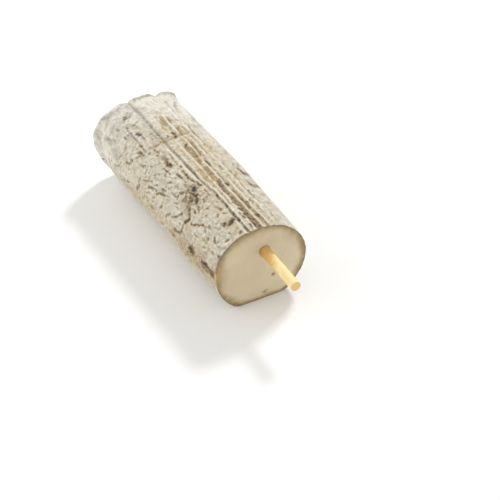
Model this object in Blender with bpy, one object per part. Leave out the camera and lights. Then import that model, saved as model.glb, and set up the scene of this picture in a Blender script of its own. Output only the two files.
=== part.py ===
# A ripened goat's milk cheese log, lying on its flat side and cut square across at one end,
# with the rye straw that runs through it showing at both ends.
# Metres, +Z up. The log lies along X with its cut face at +X, and the origin is on the table, in
# the middle of the whole.
# A place on the rind is named by "back", the distance behind the cut face, and "phi", the angle
# round the section in degrees: 0 on the right flank (+Y), 90 on top, 180 on the left flank.

import math

import bmesh
import bpy
import numpy as np
from mathutils import Vector, noise

MM = 0.001

# Log
LOG_LENGTH = 124 * MM
CUT_HALF_WIDTH = 23.9 * MM
CUT_HEIGHT = 42.2 * MM
HALF_WIDTH_SWELL = 0.9 * MM
HEIGHT_SWELL = 1.1 * MM
SWELL_SPAN = 1.35  # the swell is half a sine wave this many log lengths long
SIDE_SHIFT = 0.9 * MM
TAPER_SHIFT = -0.2 * MM
BELLY = 0.475  # the widest level, as a share of the height
UNDERSIDE = 1.18  # the lower half reaches this many belly heights down, and is cut off flat
BASE_ROUNDING = 1.8 * MM  # softens the corners of the flat, to this height above it
BASE_EDGE = 3 * MM  # the rind's relief fades to nothing over this height above the flat
LEFT_SHOULDER = 2.4  # superellipse powers: over 2 is square, under 2 is sloping
RIGHT_SHOULDER_AT_CUT = 1.92
RIGHT_SHOULDER = 1.99
SHOULDER_CHANGE = 22 * MM
LOWER_HALF = 2.0

# Far end: a flange round it, with a neck behind, drawn forwards where grooves cross its rim
EDGE_RADIUS = 2.4 * MM
FLANGE_BACK = LOG_LENGTH - 2.4 * MM
FLANGE_HALF_WIDTH = 2.6 * MM
FLANGE_BULGES = (  # phi, half width in degrees, height
    (47.0, 12.0, 2.3 * MM),
    (165.0, 20.0, 2.3 * MM),
    (143.0, 8.0, 1.0 * MM),
    (270.0, 50.0, 0.4 * MM),
)
NECK_BACK = LOG_LENGTH - 7.5 * MM
NECK_HALF_WIDTH = 4.0 * MM
NECK_DIPS = (  # phi, half width in degrees, depth
    (205.0, 20.0, 3.0 * MM),
    (168.0, 14.0, 0.4 * MM),
    (325.0, 30.0, 0.8 * MM),
    (71.0, 5.0, 0.8 * MM),
)
RIM_PULL_SPAN = 16 * MM
RIM_PULLS = (  # phi, half width in degrees, distance
    (71.5, 4.4, 4.6 * MM),
    (104.0, 6.0, 1.1 * MM),
    (92.0, 42.0, 1.9 * MM),
    (231.0, 9.0, 1.2 * MM),
    (18.0, 7.0, 1.4 * MM),
)
END_DISH = 1.6 * MM
LOBES_INTO_END = 0.45  # the share of the way to the straw over which the rim's lobes die away
END_WRINKLE_HEIGHT = 0.7 * MM

# Rack marks along the top: phi, half width, depth, and how far back each begins to fade
RACK_MARKS = (
    (104.0, 1.5, 0.9 * MM, 200 * MM),
    (97.5, 1.4, 0.3 * MM, 50 * MM),
    (91.6, 2.2, 0.75 * MM, 88 * MM),
    (84.6, 2.0, 0.65 * MM, 88 * MM),
    (76.5, 1.9, 0.35 * MM, 80 * MM),
    (69.0, 2.0, 0.35 * MM, 90 * MM),
)
MARK_FADE = 30 * MM
MARK_FLOOR = 0.3  # the share of its depth that a faded mark keeps

# The main groove, the first rack mark, runs this many degrees off its place near and far
MAIN_GROOVE = 104.0
GROOVE_DRIFT_NEAR = -1.3
GROOVE_DRIFT_FAR = 0.8
DRIFT_START = 30 * MM
DRIFT_END = 62 * MM
DRIFT_HALF_WIDTH = 6.0

# Crease across the log, where two rack bars met
CREASE_BACK = 81 * MM
CREASE_HALF_WIDTH = 1.1 * MM
CREASE_DEPTH = 0.5 * MM
CREASE_FROM = 62.0
CREASE_TO = 140.0

# Dents in the rind: back, phi, half length along the log, half width round it, depth
DENTS = (
    (110 * MM, 117.0, 2.4 * MM, 1.6 * MM, 0.8 * MM),
    (104 * MM, 96.0, 4.0 * MM, 2.0 * MM, 0.4 * MM),
    (67 * MM, 121.0, 3.4 * MM, 1.3 * MM, 0.8 * MM),
    (66 * MM, 93.0, 4.0 * MM, 1.0 * MM, 0.3 * MM),
    (46 * MM, 99.0, 4.5 * MM, 1.2 * MM, 0.4 * MM),
    (42 * MM, 117.0, 2.0 * MM, 1.8 * MM, 0.9 * MM),
    (37 * MM, 127.0, 2.6 * MM, 2.4 * MM, 0.9 * MM),
    (12 * MM, 112.0, 1.6 * MM, 2.2 * MM, 0.8 * MM),
    (8 * MM, 177.0, 4.5 * MM, 1.8 * MM, 0.7 * MM),
    (23 * MM, 177.0, 2.2 * MM, 1.8 * MM, 0.7 * MM),
    (44 * MM, 51.0, 2.4 * MM, 2.0 * MM, 0.8 * MM),
    (34 * MM, 52.0, 2.0 * MM, 2.0 * MM, 0.8 * MM),
    (85 * MM, 192.0, 8.0 * MM, 4.0 * MM, 0.5 * MM),
)

# Cracks in the rind: back and phi where each starts and ends, and its depth
CRACKS = (
    (37 * MM, 130.0, 33 * MM, 150.0, 0.8 * MM),
    (33 * MM, 150.0, 38 * MM, 176.0, 0.8 * MM),
    (40 * MM, 152.0, 50 * MM, 172.0, 0.5 * MM),
    (56 * MM, 150.0, 70 * MM, 163.0, 0.5 * MM),
    (31 * MM, 148.0, 21 * MM, 138.0, 0.5 * MM),
    (88 * MM, 128.0, 100 * MM, 146.0, 0.5 * MM),
)
CRACK_HALF_WIDTH = 1.2 * MM

# Swellings and wrinkles over the whole rind
LUMP_SIZE = 26 * MM
LUMP_HEIGHT = 0.5 * MM
WRINKLE_SIZE = 5.0 * MM
WRINKLE_HEIGHT = 0.6 * MM
WRINKLE_LEVEL = 0.2  # wrinkles stand out where the noise is closer to zero than this
WRINKLED_SIDE = 145.0
WRINKLED_HALF_WIDTH = 55.0
LEAST_WRINKLED = 0.35  # the share of their height that the wrinkles keep away from that side
ROUND_THE_LOG = 0.41 * MM  # rind length for each degree of phi

# Straw: it runs right through the log, and its free end leans a little to the left
STRAW_RADIUS = 2.55 * MM
STRAW_GAP = 0.3 * MM
STRAW_OUT = 29.5 * MM
STRAW_BACK_OUT = 0.5 * MM
STRAW_SIDE = 1.55 * MM
STRAW_HEIGHT = 28.15 * MM
STRAW_LEAN = math.radians(1.5)
STRAW_END_BEVEL = 0.25 * MM
STRAW_SIDES = 32
STRAW_RINGS = 8

# Mesh spacing: close across the rack marks, at the crease and at the far end
BAND_FROM = 63.0
BAND_TO = 115.0
BAND_STEPS = 25
LEFT_STEPS = 28
UNDER_STEPS = 6
RIGHT_STEPS = 23
STATION_STRETCHES = (
    (0.0, CREASE_BACK - 3.2 * MM, 34),
    (CREASE_BACK - 3.2 * MM, CREASE_BACK + 3.2 * MM, 6),
    (CREASE_BACK + 3.2 * MM, LOG_LENGTH - 13 * MM, 11),
    (LOG_LENGTH - 13 * MM, LOG_LENGTH - EDGE_RADIUS, 8),
)
EDGE_STEPS = 4
FACE_INSETS = (0.09, 0.28, 0.6)
END_INSETS = (0.1, 0.26, 0.5, 0.75)

RIND_COLOUR = (0.70, 0.66, 0.55, 1.0)
RIND_ROUGHNESS = 0.85
RIND_SHARP_ANGLE = 55
STRAW_COLOUR = (0.83, 0.64, 0.30, 1.0)
STRAW_ROUGHNESS = 0.6
STRAW_SHARP_ANGLE = 35


def bump(distance, half_width):
    """1 at the middle, falling smoothly to nearly 0 at twice the half width."""
    return math.exp(-((distance / half_width) ** 2))


def smooth_step(start, end, value):
    share = min(max((value - start) / (end - start), 0.0), 1.0)
    return share * share * (3 - 2 * share)


def power_of(value, power):
    return math.copysign(abs(value) ** (2 / power), value)


def section_point(back, phi):
    """(y, z) on the log's section before the rind's relief: a dome on a rounded, flat-bottomed half."""
    share = back / LOG_LENGTH
    swell = math.sin(math.pi * share / SWELL_SPAN)
    half_width = CUT_HALF_WIDTH + HALF_WIDTH_SWELL * swell
    height = CUT_HEIGHT + HEIGHT_SWELL * swell
    belly = BELLY * height
    across = math.cos(math.radians(phi))
    upward = math.sin(math.radians(phi))
    power = LOWER_HALF
    reach = belly * UNDERSIDE
    if upward >= 0:
        reach = height - belly
        power = LEFT_SHOULDER
        if across >= 0:
            change = smooth_step(0.0, SHOULDER_CHANGE, back)
            power = RIGHT_SHOULDER_AT_CUT + (RIGHT_SHOULDER - RIGHT_SHOULDER_AT_CUT) * change
    y = half_width * power_of(across, power) + SIDE_SHIFT * swell + TAPER_SHIFT * share
    z = belly + reach * power_of(upward, power)
    if z < BASE_ROUNDING:
        z = max(z + BASE_ROUNDING, 0.0) ** 2 / (4 * BASE_ROUNDING)
    return y, z


def angle_between(phi, other):
    return (phi - other + 180) % 360 - 180


def sum_of_bumps(rows, phi):
    """Total height at this angle of rows of angle, half width and height."""
    return sum(height * bump(angle_between(phi, at), half_width) for at, half_width, height in rows)


def rack_marks(back, phi):
    """Depth of the troughs along the top, shallower where they fade towards the far end."""
    depth = 0.0
    for centre, half_width, deepest, fade_from in RACK_MARKS:
        fade = 1 - (1 - MARK_FLOOR) * smooth_step(fade_from, fade_from + MARK_FADE, back)
        depth += deepest * fade * bump(angle_between(phi, centre), half_width)
    return depth


def groove_drift(back, phi):
    """How far round the log the rind is moved here, so that the main groove wanders."""
    far = smooth_step(DRIFT_START, DRIFT_END, back)
    drift = GROOVE_DRIFT_NEAR + (GROOVE_DRIFT_FAR - GROOVE_DRIFT_NEAR) * far
    return drift * bump(angle_between(phi, MAIN_GROOVE), DRIFT_HALF_WIDTH)


def crease(back, phi):
    """Depth of the crease that crosses the top."""
    if not CREASE_FROM < phi < CREASE_TO:
        return 0.0
    ends = math.sin(math.pi * (phi - CREASE_FROM) / (CREASE_TO - CREASE_FROM)) ** 0.5
    return CREASE_DEPTH * ends * bump(back - CREASE_BACK, CREASE_HALF_WIDTH)


def dents(back, phi):
    depth = 0.0
    for dent_back, dent_phi, half_length, half_width, deepest in DENTS:
        across = angle_between(phi, dent_phi) * ROUND_THE_LOG
        depth += deepest * bump(back - dent_back, half_length) * bump(across, half_width)
    return depth


def cracks(back, phi):
    """Depth of the deepest crack at this place."""
    here = Vector((back, phi * ROUND_THE_LOG))
    deepest = 0.0
    for start_back, start_phi, end_back, end_phi, depth in CRACKS:
        start = Vector((start_back, start_phi * ROUND_THE_LOG))
        along = Vector((end_back, end_phi * ROUND_THE_LOG)) - start
        share = min(max((here - start).dot(along) / along.length_squared, 0.0), 1.0)
        gap = (here - start - along * share).length
        deepest = max(deepest, depth * bump(gap, CRACK_HALF_WIDTH))
    return deepest


def swellings(point, phi):
    """Broad lumps all over, and wrinkles that are strongest on the left of the top."""
    lumps = LUMP_HEIGHT * noise.noise(point / LUMP_SIZE)
    near_side = bump(angle_between(phi, WRINKLED_SIDE), WRINKLED_HALF_WIDTH)
    wrinkled = LEAST_WRINKLED + (1 - LEAST_WRINKLED) * near_side
    ridges = WRINKLE_LEVEL - abs(noise.noise(point / WRINKLE_SIZE))
    return lumps + WRINKLE_HEIGHT * wrinkled * ridges


def far_end_shape(back, phi):
    """Height of the flange round the far end, less the neck in front of it."""
    flange = sum_of_bumps(FLANGE_BULGES, phi) * bump(back - FLANGE_BACK, FLANGE_HALF_WIDTH)
    neck = sum_of_bumps(NECK_DIPS, phi) * bump(back - NECK_BACK, NECK_HALF_WIDTH)
    return flange - neck


def rim_pull(back, phi):
    """How far the rind is drawn forwards near the far end."""
    return sum_of_bumps(RIM_PULLS, phi) * smooth_step(LOG_LENGTH - RIM_PULL_SPAN, LOG_LENGTH, back)


def rind_point(back, phi, inset=0.0):
    """A point of the rind. inset draws it in towards the middle, where the far edge turns."""
    y, z = section_point(back, phi + groove_drift(back, phi))
    outward = Vector((0, y, z - BELLY * CUT_HEIGHT)).normalized()
    point = Vector((-back, y, z))
    height = swellings(point, phi) + far_end_shape(back, phi)
    height -= rack_marks(back, phi) + crease(back, phi) + dents(back, phi) + cracks(back, phi)
    point += outward * (height * smooth_step(0.0, BASE_EDGE, z) - inset)
    point.z = max(point.z, 0.0)
    point.x += rim_pull(back, phi)
    return point


def ring_angles():
    """Angles of the ring's points: even across the rack marks, and even along the rind elsewhere."""
    corner = math.degrees(math.asin(1 / UNDERSIDE))
    left_corner, right_corner = 180 + corner, 360 - corner
    angles = list(np.linspace(BAND_FROM, BAND_TO, BAND_STEPS, endpoint=False))
    stretches = (
        (BAND_TO, left_corner, LEFT_STEPS),
        (left_corner, right_corner, UNDER_STEPS),
        (right_corner, BAND_FROM + 360, RIGHT_STEPS),
    )
    for start, end, steps in stretches:
        fine = np.linspace(start, end, 400)
        places = np.array([section_point(LOG_LENGTH / 2, phi) for phi in fine])
        lengths = np.concatenate(([0], np.cumsum(np.hypot(*np.diff(places, axis=0).T))))
        wanted = np.linspace(0, lengths[-1], steps, endpoint=False)
        angles += list(np.interp(wanted, lengths, fine))
    return [phi % 360 for phi in angles]


def straw_centre(x):
    """The straw's middle at this x."""
    return Vector((x, STRAW_SIDE - x * math.tan(STRAW_LEAN), STRAW_HEIGHT))


def channel_point(x, rim):
    """The point of the straw's channel at this x that lies towards a point of the rim."""
    centre = straw_centre(x)
    direction = Vector((0, rim.y - centre.y, rim.z - centre.z)).normalized()
    return centre + direction * (STRAW_RADIUS + STRAW_GAP)


def side_rings(angles):
    """The rind's rings from the cut face back to where the far edge begins to turn."""
    backs = [0.0]
    for start, end, steps in STATION_STRETCHES:
        backs += list(np.linspace(start, end, steps + 1))[1:]
    for back in backs:
        yield [rind_point(back, phi) for phi in angles]


def edge_rings(angles):
    """The rings that turn the far edge, from the rind's side to its end."""
    start = LOG_LENGTH - EDGE_RADIUS
    for number in range(1, EDGE_STEPS + 1):
        turn = math.pi / 2 * number / EDGE_STEPS
        back = start + EDGE_RADIUS * math.sin(turn)
        inset = EDGE_RADIUS * (1 - math.cos(turn))
        yield [rind_point(back, phi, inset) for phi in angles]


def face_rings(rim):
    """The cut face, from the rim in to the straw's channel."""
    channel = [channel_point(0.0, point) for point in rim]
    for inset in FACE_INSETS:
        yield [point.lerp(middle, inset) for point, middle in zip(rim, channel)]
    yield channel


def end_rings(rim):
    """The far end, dished between its rim and the straw's channel. The rim's lobes soon die away."""
    middle_x = -LOG_LENGTH + END_DISH
    channel = [channel_point(middle_x, point) for point in rim]
    for inset in END_INSETS:
        lobes = 1 - smooth_step(0.0, LOBES_INTO_END, inset)
        dish = END_DISH * smooth_step(0.0, END_INSETS[-1], inset)
        ring = []
        for point, middle in zip(rim, channel):
            place = point.lerp(middle, inset)
            wrinkle = END_WRINKLE_HEIGHT * noise.noise(place / WRINKLE_SIZE)
            place.x = -LOG_LENGTH + (point.x + LOG_LENGTH) * lobes + dish + wrinkle
            ring.append(place)
        yield ring
    yield channel


def solid_from_rings(name, rings):
    """One closed solid from rings of equal length, the last joined to the first."""
    bm = bmesh.new()
    loops = [[bm.verts.new(point) for point in ring] for ring in rings]
    for near, far in zip(loops, loops[1:] + loops[:1]):
        for number in range(len(near)):
            other = (number + 1) % len(near)
            bm.faces.new((near[number], near[other], far[other], far[number]))
    bmesh.ops.recalc_face_normals(bm, faces=bm.faces)
    mesh = bpy.data.meshes.new(name)
    bm.to_mesh(mesh)
    bm.free()
    return mesh


def finish(name, mesh, colour, roughness, sharp_angle):
    """Links a named object with its own material, smooth but for its sharp edges."""
    material = bpy.data.materials.new(name)
    material.use_nodes = True
    shader = material.node_tree.nodes["Principled BSDF"]
    shader.inputs["Base Color"].default_value = colour
    shader.inputs["Roughness"].default_value = roughness
    shader.inputs["Metallic"].default_value = 0.0
    mesh.materials.append(material)
    mesh.shade_smooth()
    mesh.set_sharp_from_angle(angle=math.radians(sharp_angle))
    obj = bpy.data.objects.new(name, mesh)
    bpy.context.scene.collection.objects.link(obj)
    return obj


def build_log():
    angles = ring_angles()
    sides = list(side_rings(angles))
    edge = list(edge_rings(angles))
    face = list(face_rings(sides[0]))
    end = list(end_rings(edge[-1]))
    mesh = solid_from_rings("cheese_log", face[::-1] + sides + edge + end)
    return finish("cheese_log", mesh, RIND_COLOUR, RIND_ROUGHNESS, RIND_SHARP_ANGLE)


def build_straw():
    """A straight round straw, its ends cut square with their edges just broken."""
    front = straw_centre(STRAW_OUT)
    rear = straw_centre(-LOG_LENGTH + END_DISH - STRAW_BACK_OUT)
    length = (front - rear).length
    bm = bmesh.new()
    bmesh.ops.create_cone(
        bm, cap_ends=True, segments=STRAW_SIDES, radius1=STRAW_RADIUS, radius2=STRAW_RADIUS, depth=length
    )
    ends = [edge for edge in bm.edges if abs(edge.verts[0].co.z - edge.verts[1].co.z) < STRAW_END_BEVEL]
    bmesh.ops.bevel(bm, geom=ends, offset=STRAW_END_BEVEL, segments=1, affect="EDGES")
    sides = [edge for edge in bm.edges if abs(edge.verts[0].co.z - edge.verts[1].co.z) > length / 2]
    bmesh.ops.subdivide_edges(bm, edges=sides, cuts=STRAW_RINGS)
    mesh = bpy.data.meshes.new("rye_straw")
    bm.to_mesh(mesh)
    bm.free()
    straw = finish("rye_straw", mesh, STRAW_COLOUR, STRAW_ROUGHNESS, STRAW_SHARP_ANGLE)
    straw.rotation_euler = (front - rear).to_track_quat("Z", "Y").to_euler()
    straw.location = (front + rear) / 2
    return straw


def stand_at_origin(objects):
    """Moves the objects together until the middle of their box's underside is the origin."""
    bpy.context.view_layer.update()
    points = np.array([obj.matrix_world @ vertex.co for obj in objects for vertex in obj.data.vertices])
    low, high = points.min(axis=0), points.max(axis=0)
    for obj in objects:
        obj.location -= Vector(((low[0] + high[0]) / 2, (low[1] + high[1]) / 2, low[2]))


for old in list(bpy.data.objects):
    bpy.data.objects.remove(old)
stand_at_origin([build_log(), build_straw()])
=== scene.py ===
# A ripened goat's milk cheese log with its rye straw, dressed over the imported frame.
# Metres, +Z up. The log lies along X with its cut face towards +X.
# A place on the rind is named by "back", the distance behind the cut face, and "phi", the angle
# round the section in degrees: 0 on the right flank (+Y), 90 on top, 180 on the left flank.
# In the tables of marks, places and sizes are in millimetres and degrees.

import math

import bpy
import numpy as np
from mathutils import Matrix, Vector, noise


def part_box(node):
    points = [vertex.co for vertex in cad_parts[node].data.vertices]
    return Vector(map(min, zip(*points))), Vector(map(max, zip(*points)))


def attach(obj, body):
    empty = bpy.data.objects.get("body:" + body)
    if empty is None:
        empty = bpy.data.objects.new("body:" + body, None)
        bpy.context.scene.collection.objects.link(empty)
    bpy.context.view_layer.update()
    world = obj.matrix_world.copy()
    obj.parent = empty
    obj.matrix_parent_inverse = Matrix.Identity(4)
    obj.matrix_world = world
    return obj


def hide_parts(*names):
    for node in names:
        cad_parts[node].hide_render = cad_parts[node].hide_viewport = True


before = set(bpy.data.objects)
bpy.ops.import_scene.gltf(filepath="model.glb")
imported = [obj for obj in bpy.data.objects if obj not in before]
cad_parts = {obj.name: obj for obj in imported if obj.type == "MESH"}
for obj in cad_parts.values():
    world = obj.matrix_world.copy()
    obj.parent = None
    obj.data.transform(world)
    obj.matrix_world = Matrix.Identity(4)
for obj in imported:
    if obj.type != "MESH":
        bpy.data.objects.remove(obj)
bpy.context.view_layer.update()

MM = 0.001

# Where the middle of the cut face's lower edge stands in the frame
CUT_FACE_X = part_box("cheese_log")[1].x
LOG_SIDE = 0.034 * MM

# Form of the log
LOG_LENGTH = 124 * MM
CUT_HALF_WIDTH = 23.9 * MM
CUT_HEIGHT = 42.2 * MM
HALF_WIDTH_SWELL = 0.9 * MM
HEIGHT_SWELL = 1.1 * MM
SWELL_SPAN = 1.35
SIDE_SHIFT = 0.9 * MM
TAPER_SHIFT = -0.2 * MM
BELLY = 0.475
UNDERSIDE = 1.18
BASE_ROUNDING = 1.8 * MM
BASE_EDGE = 3 * MM
LEFT_SHOULDER = 2.4
RIGHT_SHOULDER_AT_CUT = 1.92
RIGHT_SHOULDER = 1.99
SHOULDER_CHANGE = 22 * MM
LOWER_HALF = 2.0

# Far end: flange, neck, and grooves that draw its rim forwards (phi, half width, size)
EDGE_RADIUS = 2.4 * MM
FLANGE_BACK = LOG_LENGTH - 2.4 * MM
FLANGE_HALF_WIDTH = 2.6 * MM
FLANGE_BULGES = ((47, 12, 2.3), (165, 20, 2.3), (143, 8, 1.0), (270, 50, 0.4))
NECK_BACK = LOG_LENGTH - 7.5 * MM
NECK_HALF_WIDTH = 4.0 * MM
NECK_DIPS = ((205, 20, 3.0), (168, 14, 0.4), (325, 30, 0.8), (71, 5, 0.8))
RIM_PULL_SPAN = 16 * MM
RIM_PULLS = ((71.5, 4.4, 4.6), (104, 6, 1.1), (92, 42, 1.9), (231, 9, 1.2), (18, 7, 1.4))
END_DISH = 1.6 * MM
LOBES_INTO_END = 0.45
DISH_INTO_END = 0.75
SKIN_INTO_END = 0.12
END_SKIN_SUNK = 0.1 * MM
CALM_AT_STRAW = (1.0, 0.85)
END_WRINKLE_HEIGHT = 0.7 * MM

# Rack marks along the top: phi, half width, depth, and how far back each begins to fade
RACK_MARKS = (
    (104.0, 1.5, 0.9, 200),
    (97.5, 1.4, 0.3, 50),
    (91.6, 2.2, 0.75, 88),
    (84.6, 2.0, 0.65, 88),
    (76.5, 1.9, 0.35, 80),
    (69.0, 2.0, 0.35, 90),
)
MARK_FADE = 30 * MM
MARK_FLOOR = 0.3
MAIN_GROOVE = 104.0
GROOVE_DRIFT_NEAR = -1.3
GROOVE_DRIFT_FAR = 0.8
DRIFT_START = 30 * MM
DRIFT_END = 62 * MM
DRIFT_HALF_WIDTH = 6.0
CREASE_BACK = 81 * MM
CREASE_HALF_WIDTH = 1.1 * MM
CREASE_DEPTH = 0.5 * MM
CREASE_FROM = 62.0
CREASE_TO = 140.0

# Broad dents: back, phi, half length, half width, depth
DENTS = (
    (110, 117, 2.4, 1.6, 0.8),
    (104, 96, 4.0, 2.0, 0.4),
    (67, 121, 3.4, 1.3, 0.8),
    (66, 93, 4.0, 1.0, 0.3),
    (46, 99, 4.5, 1.2, 0.4),
    (42, 117, 2.0, 1.8, 0.9),
    (37, 127, 2.6, 2.4, 0.9),
    (12, 112, 1.6, 2.2, 0.8),
    (8, 177, 4.5, 1.8, 0.7),
    (23, 177, 2.2, 1.8, 0.7),
    (44, 51, 2.4, 2.0, 0.8),
    (34, 52, 2.0, 2.0, 0.8),
    (85, 192, 8.0, 4.0, 0.5),
)
DENT_SHARE = 0.6
LUMP_SIZE = 26 * MM
LUMP_HEIGHT = 0.5 * MM
WRINKLE_SIZE = 5.0 * MM
WRINKLE_HEIGHT = 0.6 * MM
WRINKLE_LEVEL = 0.2
LEAST_WRINKLED = 0.35
WRINKLED_SIDE = 145.0
WRINKLED_HALF_WIDTH = 55.0
ROUND_THE_LOG = 0.41 * MM  # one degree, along the rind

# Straw
STRAW_RADIUS = 2.55 * MM
STRAW_GAP = 0.3 * MM
MOUTH_GAP = 0.12 * MM
STRAW_OUT = 29.49 * MM
STRAW_BACK_OUT = 0.5 * MM
STRAW_SIDE = 1.55 * MM
STRAW_HEIGHT = 28.15 * MM
STRAW_LEAN = math.radians(1.5)
STRAW_FACETS = 72
STRAW_CUTS = 110
STRAW_END_RINGS = (0.12 * MM, 0.5 * MM, 0.7 * MM, 0.6 * MM)
FIBRES_ACROSS = 5.0
FIBRE_LENGTH = 26 * MM
FIBRE_DEPTH = 0.035 * MM
WANDER_DEPTH = 0.03 * MM
WANDER_SIZE = 9 * MM
WORN_EDGE = 0.14 * MM
WORN_REACH = 0.12 * MM
ROUGH_END = 0.06 * MM
ROUGH_SIZE = 0.8 * MM

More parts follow.
